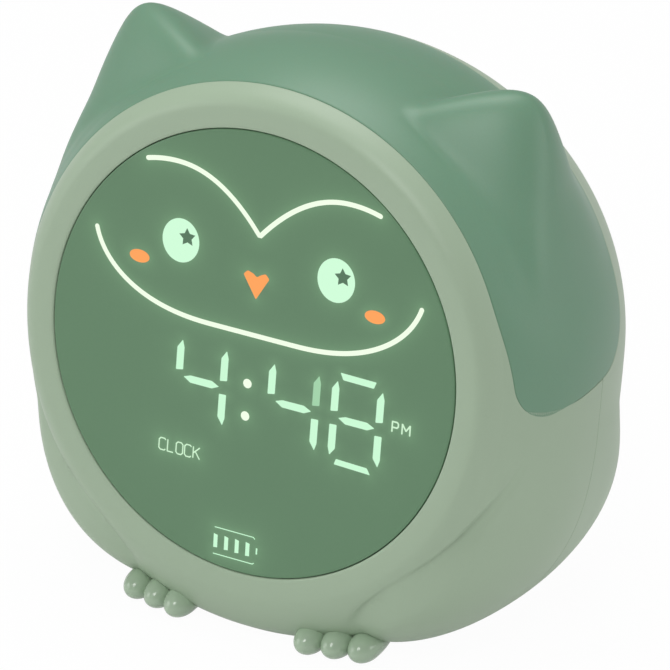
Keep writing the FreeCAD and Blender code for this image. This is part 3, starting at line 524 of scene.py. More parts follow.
# The lip rolls in from the crest of the bezel and down beside the lens.
lip_out = np.array([0.15, 0.15, 0.17, 0.25, 0.4, 0.7, 1.3, 2.0, 2.8, 3.5])[:, None]
lip_depth = np.array([2.4, 0.75, 0.5, 0.33, 0.2, 0.12, 0.08, 0.05, 0.02, 0.0])[:, None]
lip_angle = np.concatenate([start_angle, (math.pi - start_angle)[::-1]])
lip = ((LENS_RADIUS + lip_out) * np.cos(lip_angle), (LENS_RADIUS + lip_out) * np.sin(lip_angle),
       lip_depth + 0 * lip_angle)
grid_piece("front_shell_skin", placed(*closed(lip, outer, inner_wall(angle, depth, FRONT_WALL))),
           housing_middle, sage, "shell_sage", nodes=["front_shell"])

# Hood with the ears.
# A separate teal moulding, slightly translucent so that it glows at night. It is clipped
# between the shells and its edge rolls into the seam all round.
teal = Finish("hood_teal", (112, 150, 124), 0.42, IOR=1.47, Subsurface_Weight=0.08,
              Subsurface_Scale=0.002).grained(spread=0.03)
HOOD_RUN_BACK, HOOD_RUN_UP = 40.0, 95.0
side = graded(HOOD_RUN_BACK, 0.5)
rise = graded(HOOD_RUN_UP, 0.55, ends=(True, False))
front_line = spaced(np.concatenate([lobe[:front_corner + 1][::-1], crown_front]), rise)
rear_line = spaced(np.concatenate([lobe[rear_corner:], crown_rear]), rise)
base_line = spaced(lobe[front_corner:rear_corner + 1], side)
crown_line = np.stack([np.full(len(side), math.pi / 2),
                       SEAM_DEPTH + (lobe[-1, 1] - SEAM_DEPTH) * side], -1)
side = side[:, None]
# A patch between four edges: the blend from front to rear, plus the blend from base to crown,
# less the blend of the four corners.
angle, depth = [
    (1 - side) * front_line[:, k] + side * rear_line[:, k]
    + (1 - rise) * base_line[:, k][:, None] + rise * crown_line[:, k][:, None]
    - (1 - rise) * ((1 - side) * front_line[0, k] + side * rear_line[0, k])
    - rise * ((1 - side) * front_line[-1, k] + side * rear_line[-1, k]) for k in (0, 1)]
edge = np.minimum(np.minimum(side, 1 - side) * HOOD_RUN_BACK, rise * HOOD_RUN_UP)
grid_piece("hood_skin",
           placed(*closed(both_sides(angle, depth, seam_sink(edge)), inner_wall(angle, depth))),
           housing_middle, teal, "hood_teal", nodes=["night_light_hood"])

# Rear shell.
# The second sage moulding closes the back. It meets the front shell under the lobe and the
# hood behind the ears, and ends in a flat back with the keys, the speaker grille and the inlet.
RECESS_RADIUS, RECESS_MOUTH_DEPTH = 3.2, 45.0
POST_CIRCLE = 48.0
POST_ANGLES = np.radians([8.0, 172.0, -40.0, -140.0])
REAR_RUN, REAR_WALL = 62.0, 2.2
start_curve = np.concatenate([
    level_run(-math.pi / 2, lobe[parting_corner, 0], PARTING_DEPTH), lobe[parting_corner:],
    crown_rear])
start_line = spaced(start_curve, graded(measured(start_curve)[-1], 0.78, ends=(False, False)))
end_angle = -math.pi / 2 + math.pi * evened(start_line)
rows = graded(REAR_RUN, 0.72, ends=(True, False))[:, None]
angle = start_line[:, 0] + (end_angle - start_line[:, 0]) * rows
depth = start_line[:, 1] + (BACK_DEPTH - start_line[:, 1]) * (1 - (1 - rows) ** 2)
seam_share = np.where(start_line[:, 1] < PARTING_DEPTH + 0.05, PARTING_SHARE, 1.0)
outer = both_sides(angle, depth,
                   seam_sink(rows * 2 * (BACK_DEPTH - start_line[:, 1])) * seam_share)
across, up, depth = closed(outer, inner_wall(angle, depth, rear=BACK_DEPTH - REAR_WALL))
post_across, post_up = POST_CIRCLE * np.cos(POST_ANGLES), POST_CIRCLE * np.sin(POST_ANGLES)


def pierced(points, quads, level):
    """Cuts a mesh along the line where the level is zero and keeps the side where it is above.
    A triangle that crosses gets new corners in proportion to the levels at its ends."""
    sides = np.concatenate([quads[:, [0, 1, 2]], quads[:, [0, 2, 3]]])
    above = level[sides] > 0
    count = above.sum(axis=1)
    kept = [sides[count == 3]]
    added = []
    total = len(points)
    for wanted in (1, 2):
        cut = sides[count == wanted]
        odd = above[count == wanted] if wanted == 1 else ~above[count == wanted]
        turn = (np.argmax(odd, axis=1)[:, None] + np.arange(3)) % 3
        lone, second, third = np.take_along_axis(cut, turn, axis=1).T
        numbers = []
        for other in (second, third):
            share = level[lone] / (level[lone] - level[other])
            added.append(points[lone] + (points[other] - points[lone]) * share[:, None])
            numbers.append(total + np.arange(len(lone)))
            total += len(lone)
        if wanted == 1:
            kept.append(np.stack([lone, numbers[0], numbers[1]], -1))
        else:
            kept.append(np.stack([numbers[0], second, third], -1))
            kept.append(np.stack([numbers[0], third, numbers[1]], -1))
    return np.concatenate([points] + added), np.concatenate(kept)


# How far each place is outside the nearest well. Places before the mouths always stay.
recess_gap = np.min(np.hypot(across[..., None] - post_across, up[..., None] - post_up), axis=-1)
recess_gap = np.where(depth > RECESS_MOUTH_DEPTH, recess_gap - RECESS_RADIUS, 5.0)
points = placed(across, up, depth)
shell_points, shell_faces = pierced(points.reshape(-1, 3), grid_faces(*points.shape[:2]),
                                    recess_gap.ravel())
piece("rear_shell_skin", shell_points, [shell_faces], housing_middle, sage, "shell_sage",
      nodes=["rear_shell"])

# Screw recesses.
# Four deep round wells in the rear shell, each with a flat seat and a screw hole in it, let
# the screws reach the posts of the front shell.
SCREW_SEAT_DEPTH = 50.0
turn = np.linspace(0, 2 * math.pi, 49)
radius = RECESS_RADIUS * np.array([1, 1, 1, 0.5])[:, None]
seat = np.full(49, SCREW_SEAT_DEPTH)
for number, (well_across, well_up) in enumerate(zip(post_across, post_up), 1):
    ring_across = well_across + RECESS_RADIUS * np.cos(turn)
    ring_up = well_up + RECESS_RADIUS * np.sin(turn)
    ring_angle, ring_reach = np.arctan2(ring_up, ring_across), np.hypot(ring_across, ring_up)
    # The mouth is where the skin comes in to the ring, found by halving the depth between.
    near, far = np.full(49, RECESS_MOUTH_DEPTH), np.full(49, BACK_DEPTH)
    for _ in range(40):
        middle = (near + far) / 2
        outside = skin_reach(ring_angle, middle) < ring_reach
        near, far = np.where(outside, near, middle), np.where(outside, middle, far)
    grid_piece("screw_well_%d" % number,
               placed(well_across + radius * np.cos(turn), well_up + radius * np.sin(turn),
                      np.stack([near, near - 0.6, seat, seat])),
               housing_middle, sage, "shell_sage", nodes=["rear_shell"])

# Flat back.
# The plane of the rear shell with six key openings, the grille of nineteen holes before the
# speaker and the mouth of the charging inlet.
KEY_WIDTH, KEY_HEIGHT, KEY_ROUND, KEY_GAP = 9.0, 6.0, 1.6, 0.2
KEY_PITCH_ACROSS, KEY_PITCH_UP, KEY_ROW_UP = 13.5, 10.0, 20.0
SPEAKER_UP = -7.2
GRILLE_PITCH, GRILLE_HOLE_RADIUS = 3.8, 0.9
SOCKET_WIDTH, SOCKET_HEIGHT, SOCKET_GAP, SOCKET_UP = 9.0, 3.3, 0.2, -23.5


def rounded_block(width, height, corner, across=0.0, up=0.0, count=48):
    """Outline of a rectangle with round corners: four arcs set in from the corners."""
    turn = (np.arange(count) + 0.5) / count * 2 * math.pi
    quarter_x, quarter_z = np.sign(np.cos(turn)), np.sign(np.sin(turn))
    return np.stack([across + quarter_x * (width / 2 - corner) + corner * np.cos(turn),
                     up + quarter_z * (height / 2 - corner) + corner * np.sin(turn)], -1)


key_places = [("key_%s_%s" % (row_name, column_name), (1 - column) * KEY_PITCH_ACROSS,
               KEY_ROW_UP - row * KEY_PITCH_UP)
              for row, row_name in enumerate(("upper", "lower"))
              for column, column_name in enumerate(("left", "middle", "right"))]
openings = [rounded_block(KEY_WIDTH + 2 * KEY_GAP, KEY_HEIGHT + 2 * KEY_GAP,
                          KEY_ROUND + KEY_GAP, across, up) for _, across, up in key_places]
openings.append(rounded_block(SOCKET_WIDTH + 2 * SOCKET_GAP, SOCKET_HEIGHT + 2 * SOCKET_GAP,
                              SOCKET_HEIGHT / 2 + SOCKET_GAP, 0, SOCKET_UP))
hole = 2 * GRILLE_HOLE_RADIUS
for ring in range(3):
    count = max(6 * ring, 1)
    for number in range(count):
        turn = 2 * math.pi * number / count
        openings.append(rounded_block(hole, hole, GRILLE_HOLE_RADIUS,
                                      ring * GRILLE_PITCH * math.cos(turn),
                                      ring * GRILLE_PITCH * math.sin(turn) + SPEAKER_UP, 24))
rim_angle = np.concatenate([end_angle, math.pi - end_angle[::-1][1:-1]])
rim_reach = body_reach(rim_angle, BACK_DEPTH)
rim = np.stack([rim_reach * np.cos(rim_angle), rim_reach * np.sin(rim_angle)], -1)
outlines = [rim] + openings
loops, begin = [], 0
for outline in outlines:
    loops.append(list(range(begin, begin + len(outline))))
    begin += len(outline)
# The plane is cut into triangles along all the outlines. Those that lie in the rim alone stay.
corners, _, cells, _, _, owners = delaunay_2d_cdt(
    [Vector(point) for point in np.concatenate(outlines)], [], loops, 1, 1e-5)
corners = np.array(corners)
triangles = np.array([cell for cell, owner in zip(cells, owners) if list(owner) == [0]])
back_plate = piece("back_plate", placed(corners[:, 0], corners[:, 1], BACK_DEPTH), [triangles],
                   housing_middle, sage, "shell_sage", nodes=["rear_shell"], smooth=False)
wall = back_plate.modifiers.new("wall", "SOLIDIFY")
wall.thickness = REAR_WALL / PER_METRE
wall.offset = -1

# Keys on the back.
# Six sage caps with round corners stand a millimetre proud. Each slides straight in against
# its switch and is pushed out again by it.
KEY_PROUND, KEY_EDGE = 1.0, 0.5
key_sage = Finish("key_sage", (158, 178, 156), 0.38, IOR=1.46).grained()
turn = np.linspace(0, math.pi / 2, 7)
key_inset = np.concatenate([[0.0, 0.0], KEY_EDGE * (1 - np.cos(turn)), [1.2, 2.2, 2.9]])
key_rise = np.concatenate([[-1.6, -0.4], KEY_PROUND - KEY_EDGE + KEY_EDGE * np.sin(turn),
                           [KEY_PROUND] * 3])
for label, across, up in key_places:
    rings = []
    for inset, level in zip(key_inset, key_rise):
        ring = rounded_block(KEY_WIDTH - 2 * inset, KEY_HEIGHT - 2 * inset,
                             max(KEY_ROUND - inset, 0.05), across, up)
        ring = np.concatenate([ring, ring[:1]])
        rings.append(placed(ring[:, 0], ring[:, 1], BACK_DEPTH + level))
    middle = placed(across, up, BACK_DEPTH + KEY_PROUND) + np.zeros_like(rings[0])
    grid_piece("cap_" + label, np.stack(rings + [middle]), placed(across, up, BACK_DEPTH),
               key_sage, "key_sage", label, [label])

# Feet.
# Glossy sage feet under the shells: three round toes side by side in front of a long low sole
# that runs back to the heel. They stand upright, not leant with the face.
TOE_RADIUS, TOE_LENGTH, INNER_TOE, TOE_PITCH = 3.1, 15.0, 14.9, 5.4
TOE_FRONT, TOE_STEP, TOE_CLEARANCE = -3.9, 1.2, 0.05
BALL_SHARE, TAIL_SHARE = 0.34, 0.66
FOOT_LENGTH, HEEL_WIDTH, FOOT_MIDDLE = 48.0, 10.0, (20.0, 15.0, 2.7)
SOLE_FRONT, SOLE_TUCK, SOLE_HALF_HEIGHT, SOLE_CLEARANCE = 0.4, 1.0, 2.6, 0.02
# Their base colour is the shells' sage painted lighter, to make up for the shade under the body:
# painted light. The glossy coat is their own.
foot_sage = Finish("foot_sage", (172, 194, 168), 0.2, IOR=1.5, Coat_Weight=0.4,
                   Coat_Roughness=0.08).grained(spread=0.015, depth=0.000005)
ground = -face_middle[2] * PER_METRE


def upright(across, back, rise):
    """Frame coordinates of a place given from the middle of the display, not leant."""
    return np.stack(np.broadcast_arrays(across, back, rise), -1) / PER_METRE + face_middle


def toe_surface(across, front, radius, length):
    """A drop, as a radius turned about its length: it grows as a quarter circle over the share
    of the ball in front and shrinks as a quarter ellipse over that of the tail."""
    along = (1 - np.cos(np.linspace(0, math.pi, 40))) / 2
    turn = np.linspace(0, 2 * math.pi, 41)
    ball = np.sqrt(np.clip(1 - (1 - np.minimum(along / BALL_SHARE, 1)) ** 2, 0, 1))
    tail = np.sqrt(np.clip(1 - (np.maximum(along - BALL_SHARE, 0) / TAIL_SHARE) ** 2, 0, 1))
    swell = radius * ball * tail
    back = front - radius + along * length
    rise = ground + radius + TOE_CLEARANCE
    return upright(across + swell[:, None] * np.cos(turn), back[:, None] + 0 * turn,
                   rise + swell[:, None] * np.sin(turn))


def sole_surface(side):
    """A long low bar: a superellipse of the fifth power that narrows evenly towards the heel
    and closes bluntly at both ends."""
    along = (1 - np.cos(np.linspace(0, math.pi, 50))) / 2
    turn = np.linspace(0, 2 * math.pi, 65)
    inner = INNER_TOE - TOE_RADIUS + SOLE_TUCK
    outer = inner + 2 * TOE_PITCH + 2 * TOE_RADIUS - 2 * SOLE_TUCK
    heel_back = FOOT_LENGTH + TOE_FRONT - TOE_RADIUS
    half = (outer - inner) / 2 + (HEEL_WIDTH / 2 - (outer - inner) / 2) * along
    ends = np.clip(1 - np.abs(2 * along - 1) ** 7, 0, 1) ** (1 / 3)
    squared = (np.abs(np.cos(turn)) ** 5 + np.abs(np.sin(turn)) ** 5) ** -0.2
    return upright(
        side * (inner + outer) / 2 + (half * ends)[:, None] * squared * np.cos(turn),
        (SOLE_FRONT + along * (heel_back - SOLE_FRONT))[:, None] + 0 * turn,
        ground + SOLE_CLEARANCE + SOLE_HALF_HEIGHT
        + SOLE_HALF_HEIGHT * ends[:, None] * squared * np.sin(turn))


def gathered(shapes):
    """Several shapes as one: all their points, and their faces counted on from one another."""
    points, faces, total = [], [], 0
    for shape_points, shape_faces in shapes:
        points.append(shape_points)
        faces.append(shape_faces + total)
        total += len(shape_points)
    return np.concatenate(points), faces


for side, foot_name in ((1, "right_foot"), (-1, "left_foot")):
    sheets = [toe_surface(side * (INNER_TOE + number * TOE_PITCH),
                          TOE_FRONT + number * TOE_STEP, TOE_RADIUS, TOE_LENGTH)
              for number in range(3)] + [sole_surface(side)]
    points, faces = gathered([(sheet.reshape(-1, 3), grid_faces(*sheet.shape[:2]))
                              for sheet in sheets])
    across, back, rise = FOOT_MIDDLE
    piece(foot_name + "_skin", points, faces, upright(side * across, back, ground + rise),
          foot_sage, "foot_sage", nodes=[foot_name])

# Display graphics.
# The printed film lets light through only at these figures, which show through the tinted lens:
# the owl's brow, eyes, beak and cheeks, the time, PM, CLOCK and the battery gauge.
GRAPHIC_DEPTH = LENS_FACE_DEPTH - 0.03
SHADE_DEPTH = LENS_FACE_DEPTH - 0.05
lit_shapes = []


def ribbon(path, width):
    """A band of even width along a path: its line and an edge half a width to each side, which
    comes in to the line over the last half width as a quarter circle."""
    path = np.asarray(path, float)
    length = np.concatenate([[0], np.cumsum(np.linalg.norm(np.diff(path, axis=0), axis=1))])
    ends = width / 2 * (1 - np.cos(np.linspace(0, math.pi / 2, 7)))
    places = np.unique(np.concatenate([ends, np.linspace(width / 2, length[-1] - width / 2, 120),
                                       length[-1] - ends]))
    line = np.stack([np.interp(places, length, path[:, k]) for k in (0, 1)], -1)
    along = np.gradient(line, axis=0)
    along /= np.linalg.norm(along, axis=1)[:, None]
    aside = np.stack([-along[:, 1], along[:, 0]], -1)
    to_end = np.minimum(places, length[-1] - places)
    short = np.clip(1 - to_end / (width / 2), 0, 1)
    half = (width / 2 * np.sqrt(1 - short ** 2))[:, None]
    rows = np.stack([line - aside * half, line, line + aside * half])
    return rows.reshape(-1, 2), grid_faces(3, len(line))


def patch(outline):
    """A filled outline, as a fan about its middle."""
    outline = np.asarray(outline, float)
    count = len(outline)
    fan = [(count, k, (k + 1) % count) for k in range(count)]
    return np.concatenate([outline, [outline.mean(axis=0)]]), np.array(fan)


def rounded_outline(corners, radius=0.22):
    """An outline whose corners are rounded by curves that leave each side this far before the
    corner: the corner plus both directions, weighted by the squares of two opposite shares."""
    corners = np.asarray(corners, float)
    points = []
    for before, corner, after in zip(np.roll(corners, 1, 0), corners, np.roll(corners, -1, 0)):
        into = (before - corner) / np.linalg.norm(before - corner)
        away = (after - corner) / np.linalg.norm(after - corner)
        for share in np.linspace(0, 1, 5):
            points.append(corner + radius * (into * (1 - share) ** 2 + away * share ** 2))
    return points


def lit(name, shapes, finish, depth=GRAPHIC_DEPTH, glows=True):
    """Puts flat figures of the face plane into one mesh just before the lens."""
    points, faces = gathered(shapes)
    if glows:
        lit_shapes.append(points)
    piece(name, placed(points[:, 0], points[:, 1], depth), faces, housing_middle, finish,
          "film_white", smooth=False)


def glowing(name, colour):
    """A finish that shines with its own colour."""
    return Finish(name, (6, 10, 6), 0.6, Emission_Color=linear(colour), Emission_Strength=1.0)


line_light = glowing("line_light", (240, 254, 230))
digit_light = glowing("digit_light", (200, 248, 210))
dim_light = glowing("dim_light", (158, 208, 166))
small_light = glowing("small_light", (205, 240, 205))
orange_light = glowing("orange_light", (252, 160, 84))

# The brow comes in from each side as a shallow arch and falls to a notch between the eyes.
LINE_WIDTH = 1.0
BROW_HALF_WIDTH, BROW_NOTCH_UP, BROW_RISE, BROW_DIP = 26.4, 24.3, 11.0, 1.0
BROW_CLIMB, BROW_REST = 0.74, 0.26
share = np.linspace(0, 1, 120)
brow_x = BROW_HALF_WIDTH * share
brow_z = (BROW_NOTCH_UP + BROW_RISE * (1 - (1 - np.minimum(share / BROW_CLIMB, 1)) ** 2.1)
          - BROW_DIP * np.clip((share - BROW_CLIMB) / BROW_REST, 0, 1) ** 2)
brow = np.concatenate([np.stack([-brow_x, brow_z], -1)[::-1], np.stack([brow_x, brow_z], -1)[1:]])
# Under the face a wide bowl runs up to both sides: flat in its middle, then a superellipse.
BOWL_HALF_WIDTH, BOWL_FLAT, BOWL_RUN, BOWL_UP, BOWL_RISE = 36.5, 9, 27.9, 4.2, 17.45
bowl_x = BOWL_HALF_WIDTH * np.sin(np.linspace(-math.pi / 2, math.pi / 2, 160))
out = np.clip((np.abs(bowl_x) - BOWL_FLAT) / BOWL_RUN, 0, 1)
bowl_z = BOWL_UP + BOWL_RISE * (1 - np.sqrt(1 - out ** 2.3))
bowl = np.stack([bowl_x, bowl_z], -1)
lit("face_lines", [ribbon(brow, LINE_WIDTH), ribbon(bowl, LINE_WIDTH)], line_light)

EYE_ACROSS, EYE_UP, EYE_WIDTH, EYE_HEIGHT = 17.4, 19.5, 8.3, 8.9
turn = np.linspace(0, 2 * math.pi, 64, endpoint=False)
eye = np.stack([EYE_WIDTH / 2 * np.cos(turn), EYE_HEIGHT / 2 * np.sin(turn)], -1)
eye_light = glowing("eye_light", (205, 250, 214))
lit("eyes", [patch(eye + [side * EYE_ACROSS, EYE_UP]) for side in (-1, 1)], eye_light)
# In each eye a small dark star lies above and to the right of the middle.
STAR_POINT, STAR_HOLLOW, STAR_TURN, STAR_ASIDE, STAR_ABOVE = 1.9, 1.0, 0.1, 1.4, 0.9
star_turn = np.linspace(0, 2 * math.pi, 10, endpoint=False) + math.pi / 2 + STAR_TURN
star_reach = np.where(np.arange(10) % 2 == 0, STAR_POINT, STAR_HOLLOW)
star = np.stack([star_reach * np.cos(star_turn), star_reach * np.sin(star_turn)], -1)
star_shade = Finish("star_shade", (84, 122, 92), 0.5)
lit("eye_stars", [patch(star + [side * EYE_ACROSS + STAR_ASIDE, EYE_UP + STAR_ABOVE])
                  for side in (-1, 1)], star_shade, SHADE_DEPTH, False)

CHEEK_ACROSS, CHEEK_UP, CHEEK_HALF_WIDTH, CHEEK_HALF_HEIGHT = 26.4, 14.2, 2.25, 1.3
beak = rounded_outline([(0.1, 11.5), (2.8, 16.2), (1.9, 17.1), (0.8, 16.6), (0.0, 16.0),
                        (-0.8, 16.6), (-2.1, 17.0), (-3.0, 16.1)], 0.3)
cheek = np.stack([CHEEK_HALF_WIDTH * np.cos(turn), CHEEK_HALF_HEIGHT * np.sin(turn)], -1)
lit("beak_and_cheeks", [patch(beak)] + [patch(cheek + [side * CHEEK_ACROSS, CHEEK_UP])
                                        for side in (-1, 1)], orange_light)

# Each digit has seven bars with bevelled ends. Only those that are lit are shown, one dimly.
DIGIT_MIDDLES = (-10.75, 10.0, 24.1)
DIGIT_HALF_WIDTH, BAR_LENGTH, BAR_WIDTH = 5.0, 6.4, 1.62
BAR_TOP, BAR_LOW, BAR_POINT_ASIDE = -0.45, -9.4, 0.35


def upright_bar(across, top, point_up, lean):
    """A standing bar: a point at its outer end, leaning to one side, and a sloped flat end."""
    low, half = top - BAR_LENGTH, BAR_WIDTH / 2
    point = across + lean * BAR_POINT_ASIDE
    if point_up:
        return [(point, top), (across + half, top - 1.5), (across + half, low + 0.3),
                (across - half, low), (across - half, top - 1.7)]
    return [(across - half, top - 0.1), (across + half, top), (across + half, low + 1.5),
            (point, low), (across - half, low + 1.6)]


def digit_bars(middle, bars):
    """The lit bars of one digit, by their letters."""
    left, right = middle - DIGIT_HALF_WIDTH, middle + DIGIT_HALF_WIDTH
    shapes = {
        "f": upright_bar(left, BAR_TOP, True, 1),
        "b": upright_bar(right, BAR_TOP, True, 1),
        "e": upright_bar(left, BAR_LOW, False, -1),
        "c": upright_bar(right, BAR_LOW, False, 1),
        "g": [(left + 1.0, -7.9), (left + 2.6, -7.35), (right - 2.6, -7.3), (right - 0.9, -8.1),
              (right - 2.5, -8.85), (left + 2.6, -8.85)],
        "a": [(left + 0.8, 1.35), (right - 1.2, 1.25), (right - 1.7, -0.15), (left + 1.5, -0.05)],
        "d": [(left + 1.2, -16.3), (right - 1.9, -16.5), (right - 1.1, -17.75),
              (left + 0.8, -17.5)],
    }
    return [patch(rounded_outline(shapes[letter])) for letter in bars]


lit("digits", digit_bars(DIGIT_MIDDLES[0], "fbgc") + digit_bars(DIGIT_MIDDLES[1], "fgc")
    + digit_bars(DIGIT_MIDDLES[2], "abcdefg"), digit_light)
lit("dim_bar", digit_bars(DIGIT_MIDDLES[1], "b"), dim_light)
COLON_DOT_RADIUS, COLON_ACROSS, COLON_UPS = 0.95, -0.4, (-5.9, -12.6)
dot = COLON_DOT_RADIUS * np.stack([np.cos(turn), np.sin(turn)], -1)
lit("colon", [patch(dot + [COLON_ACROSS, up]) for up in COLON_UPS], line_light)

# The words are single strokes in a box one unit high.
LETTERS = {
    "C": [[(0.62, 0.12), (0.5, 0.0), (0.15, 0.0), (0.0, 0.15), (0.0, 0.85), (0.15, 1.0), (0.5, 1.0),
           (0.62, 0.88)]],
    "L": [[(0.0, 1.0), (0.0, 0.0), (0.55, 0.0)]],
    "O": [[(0.15, 0.0), (0.0, 0.15), (0.0, 0.85), (0.15, 1.0), (0.47, 1.0), (0.62, 0.85),
           (0.62, 0.15), (0.47, 0.0), (0.12, 0.0)]],
    "K": [[(0.0, 1.0), (0.0, 0.0)], [(0.6, 1.0), (0.03, 0.45)], [(0.2, 0.58), (0.62, 0.0)]],
    "P": [[(0.0, 0.0), (0.0, 1.0), (0.5, 1.0), (0.62, 0.85), (0.62, 0.62), (0.5, 0.47),
           (0.03, 0.47)]],
    "M": [[(0.0, 0.0), (0.0, 1.0), (0.4, 0.4), (0.8, 1.0), (0.8, 0.0)]],
}


def word(text, across, up, height, pitch, width):
    """Stroke letters side by side from a lower left corner."""
    strokes = []
    for number, letter in enumerate(text):
        for stroke in LETTERS[letter]:
            line = np.array(stroke) * height + [across + number * pitch, up]
            strokes.append(ribbon(line, width))
    return strokes


lit("words", word("CLOCK", -19.2, -24.1, 2.45, 1.95, 0.27)
    + word("PM", 32.0, -7.8, 2.15, 2.2, 0.34), small_light)

# The gauge is a cell on its side: a line above and below, four charge bars and a cap.
gauge = [ribbon([(-5.4, -36.95), (3.4, -36.95), (3.8, -37.3)], 0.2),
         ribbon([(-5.4, -42.5), (3.6, -42.5), (3.9, -42.2)], 0.2)]
for number in range(4):
    middle = -5.0 + 2.42 * number
    gauge.append(patch([(middle - 0.48, -38.3), (middle + 0.42, -38.5), (middle + 0.48, -41.1),
                        (middle - 0.42, -41.2)]))
gauge.append(patch([(4.15, -39.0), (4.5, -39.0), (4.5, -40.3), (4.15, -40.3)]))
lit("battery_gauge", gauge, digit_light)

# Lens.
# A round plate of satin green acrylic, set flush in the ring. The lit figures spread a little
# in it, so it glows softly round them.
lens_green = Finish("lens_green", (98, 135, 102), 0.38, IOR=1.47, Emission_Strength=0.6)
lens_edge = LENS_RADIUS - np.array([0.2, 0.08, 0.02, 0.0, 0.0])
radius = np.concatenate([np.linspace(0, LENS_RADIUS - 0.4, 110), lens_edge])
drop = np.concatenate([np.zeros(110), [0.02, 0.08, 0.16, 0.3, LENS_THICKNESS]])
turn = np.linspace(0, 2 * math.pi, 361)
lens = grid_piece("lens_plate",
                  placed(radius[:, None] * np.cos(turn), radius[:, None] * np.sin(turn),
                         LENS_FACE_DEPTH + drop[:, None]),
                  placed(0, 0, 10), lens_green, "lens_green", nodes=["display_lens"])
# The glow falls off with the distance to the nearest figure: a reach and a strength for each
# of its two layers.
GLOW_LAYERS = ((1.1, 0.16), (4.0, 0.05))
sources = np.concatenate(lit_shapes).astype(np.float32)
corners = np.empty(len(lens.data.vertices) * 3)
lens.data.vertices.foreach_get("co", corners)
local = (corners.reshape(-1, 3) - face_middle) * PER_METRE
lens_x = local[:, 0].astype(np.float32)
lens_z = (local[:, 1] * math.sin(LEAN) + local[:, 2] * math.cos(LEAN)).astype(np.float32)
nearest = np.full(len(lens_x), 1e9, np.float32)
for begin in range(0, len(sources), 200):
    part = sources[begin:begin + 200]
    squares = (lens_x[:, None] - part[:, 0]) ** 2 + (lens_z[:, None] - part[:, 1]) ** 2
    nearest = np.minimum(nearest, squares.min(axis=1))
halo = sum(np.exp(-np.sqrt(nearest) / reach) * strength for reach, strength in GLOW_LAYERS)
store = lens.data.attributes.new("halo", "FLOAT", "POINT")
store.data.foreach_set("value", halo.astype(np.float32))
stored = lens_green.node("ShaderNodeAttribute", {"attribute_name": "halo"})
lens_green.feed("Emission Color",
                lens_green.blended(Amount(lens_green, stored.outputs["Fac"]), (0, 0, 0, 1),
                                   linear((150, 200, 150))))
lens_green.grained(spread=0.03)

# Inner pieces.
# Everything behind the lens and inside the shells keeps its solid and gets the finish of its
# real material: moulded white plastic, solder mask, foam, pouch foil, steel and paper cone.
plain_finishes = {
    "display_film": ("film_white", (236, 238, 232), 0.5, 0.0),
    "light_box": ("white_plastic", (232, 232, 226), 0.45, 0.0),
    "light_reflector": ("white_plastic", (238, 238, 234), 0.35, 0.0),
    "display_leds": ("led_white", (240, 236, 214), 0.25, 0.0),
    "hood_leds": ("led_white", (242, 238, 205), 0.25, 0.0),
    "light_strip": ("board_green", (226, 224, 214), 0.4, 0.0),
    "main_board": ("board_green", (34, 92, 58), 0.35, 0.0),
    "rear_board": ("board_green", (34, 92, 58), 0.35, 0.0),
    "board_screws": ("screw_steel", (176, 178, 180), 0.3, 1.0),
    "rear_board_screws": ("screw_steel", (176, 178, 180), 0.3, 1.0),
    "housing_screws": ("screw_steel", (160, 162, 166), 0.32, 1.0),
    "controller_chip": ("chip_black", (30, 30, 32), 0.45, 0.0),
    "cell_tape": ("foam_black", (34, 34, 36), 0.9, 0.0),
    "speaker_gasket": ("foam_black", (34, 34, 36), 0.9, 0.0),
    "battery_cell": ("cell_silver", (178, 182, 186), 0.3, 0.9),
    "tact_switches": ("chip_black", (42, 42, 44), 0.4, 0.0),
    "charging_socket": ("socket_steel", (190, 192, 194), 0.28, 1.0),
    "speaker": ("speaker_black", (38, 38, 40), 0.55, 0.0),
}
for node_name, (slot_name, colour, roughness, metal) in plain_finishes.items():
    finish = Finish(node_name + "_finish", colour, roughness, Metallic=metal)
    finish.grained(spread=0.06, per_metre=1800.0)
    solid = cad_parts[node_name]
    solid.data.materials.clear()
    solid.data.materials.append(finish.material)

# Floor and light.
# The clock stands on a pale sweep in a soft studio: a key lamp in front above, a broad lamp
# overhead, a fill from the left and a weak rim lamp on the right, in a room that looks white.
WHITE_SHARE, GLOSSY_SHARE, ROOM_STRENGTH = 0.97, 0.5, 0.27
floor_finish = Finish("floor_pale", (246, 246, 246), 0.9)
floor_tree = floor_finish.tree
light_path = floor_finish.node("ShaderNodeLightPath")
shown = (Amount(floor_finish, light_path.outputs["Is Camera Ray"])
         + Amount(floor_finish, light_path.outputs["Is Glossy Ray"]) * GLOSSY_SHARE
         + Amount(floor_finish, light_path.outputs["Is Transmission Ray"]))
white = floor_finish.node("ShaderNodeEmission", None, {"Color": (1, 1, 1, 1), "Strength": 1.0})
sweep = floor_finish.node("ShaderNodeMixShader", None,
                          {0: (shown * WHITE_SHARE).socket,
                           1: floor_finish.surface.outputs["BSDF"], 2: white.outputs[0]})
floor_tree.links.new(sweep.outputs[0], floor_tree.nodes["Material Output"].inputs["Surface"])
floor_mesh = bpy.data.meshes.new("floor")
floor_mesh.from_pydata([(-20, -20, 0), (20, -20, 0), (20, 20, 0), (-20, 20, 0)], [],
                       [(0, 1, 2, 3)])
floor_mesh.materials.append(floor_finish.material)
floor = bpy.data.objects.new("floor", floor_mesh)
bpy.context.scene.collection.objects.link(floor)

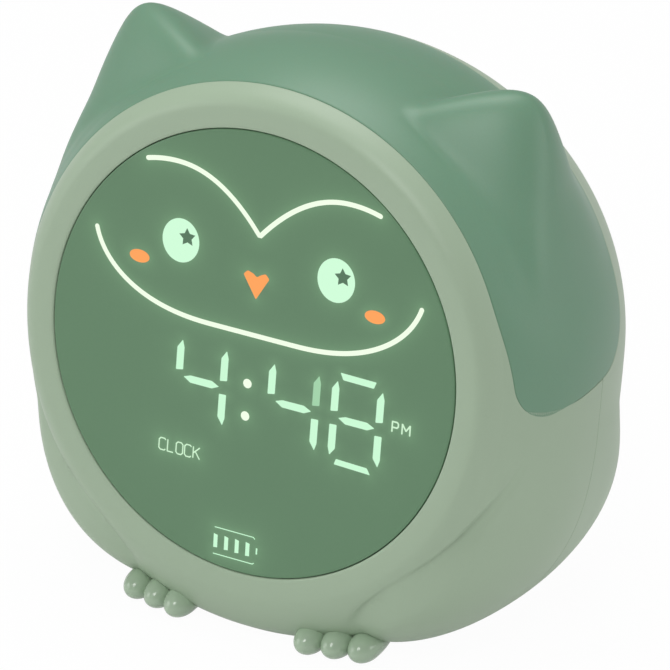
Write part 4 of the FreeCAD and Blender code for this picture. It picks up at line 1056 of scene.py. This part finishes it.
room = bpy.data.worlds.new("studio")
bpy.context.scene.world = room
room.use_nodes = True
room_tree = room.node_tree
room_light = room_tree.nodes["Background"]
room_light.inputs["Color"].default_value = (1, 1, 1, 1)
room_light.inputs["Strength"].default_value = ROOM_STRENGTH
room_path = node_in(room_tree, "ShaderNodeLightPath")
room_white = node_in(room_tree, "ShaderNodeBackground", None, {"Strength": 1.0})
room_mix = node_in(room_tree, "ShaderNodeMixShader", None,
                   {0: room_path.outputs["Is Camera Ray"], 1: room_light.outputs[0],
                    2: room_white.outputs[0]})
room_tree.links.new(room_mix.outputs[0], room_tree.nodes["World Output"].inputs["Surface"])

clock_middle = Vector((0, 0, 0.055))
LAMPS = [
    ("key_lamp", (0.25, -0.8, 0.95), 0.5, 4.1),
    ("fill_lamp", (-0.8, -0.6, 0.35), 0.7, 2.2),
    ("top_lamp", (-0.15, 0.15, 1.1), 0.8, 6.2),
    ("rim_lamp", (0.95, 0.35, 0.3), 0.5, 1.3),
]
for name, place, width, power in LAMPS:
    lamp_data = bpy.data.lights.new(name, "AREA")
    lamp_data.shape = "DISK"
    lamp_data.size = width
    lamp_data.energy = power
    lamp = bpy.data.objects.new(name, lamp_data)
    bpy.context.scene.collection.objects.link(lamp)
    lamp.location = place
    aim = clock_middle - lamp.location
    lamp.rotation_euler = aim.to_track_quat("-Z", "Y").to_euler()

# Camera.
# It stands where the photograph was taken from: turned to the clock's left, looking down, far
# off, aimed a little beside the middle of the display.
VIEW_DISTANCE, VIEW_ASIDE, VIEW_ABOVE = 1.3407, 0.01632, 0.00402
PICTURE_FOCUS = 6940.0 / 670.0
turn, down = math.radians(30.34), math.radians(26.78)
back = Vector((math.sin(turn) * math.cos(down), -math.cos(turn) * math.cos(down), math.sin(down)))
aside = Vector((math.cos(turn), math.sin(turn), 0))
above = Vector((-math.sin(turn) * math.sin(down), math.cos(turn) * math.sin(down), math.cos(down)))
camera_data = bpy.data.cameras.new("camera")
camera_data.sensor_width = 36.0
camera_data.lens = PICTURE_FOCUS * camera_data.sensor_width
camera_data.clip_end = 20.0
camera = bpy.data.objects.new("camera", camera_data)
bpy.context.scene.collection.objects.link(camera)
axes = Matrix((aside, above, back)).transposed()
eye_point = Vector(face_middle) + back * VIEW_DISTANCE + aside * VIEW_ASIDE + above * VIEW_ABOVE
camera.matrix_world = Matrix.Translation(eye_point) @ axes.to_4x4()
bpy.context.scene.camera = camera
bpy.context.scene.view_settings.view_transform = "Standard"
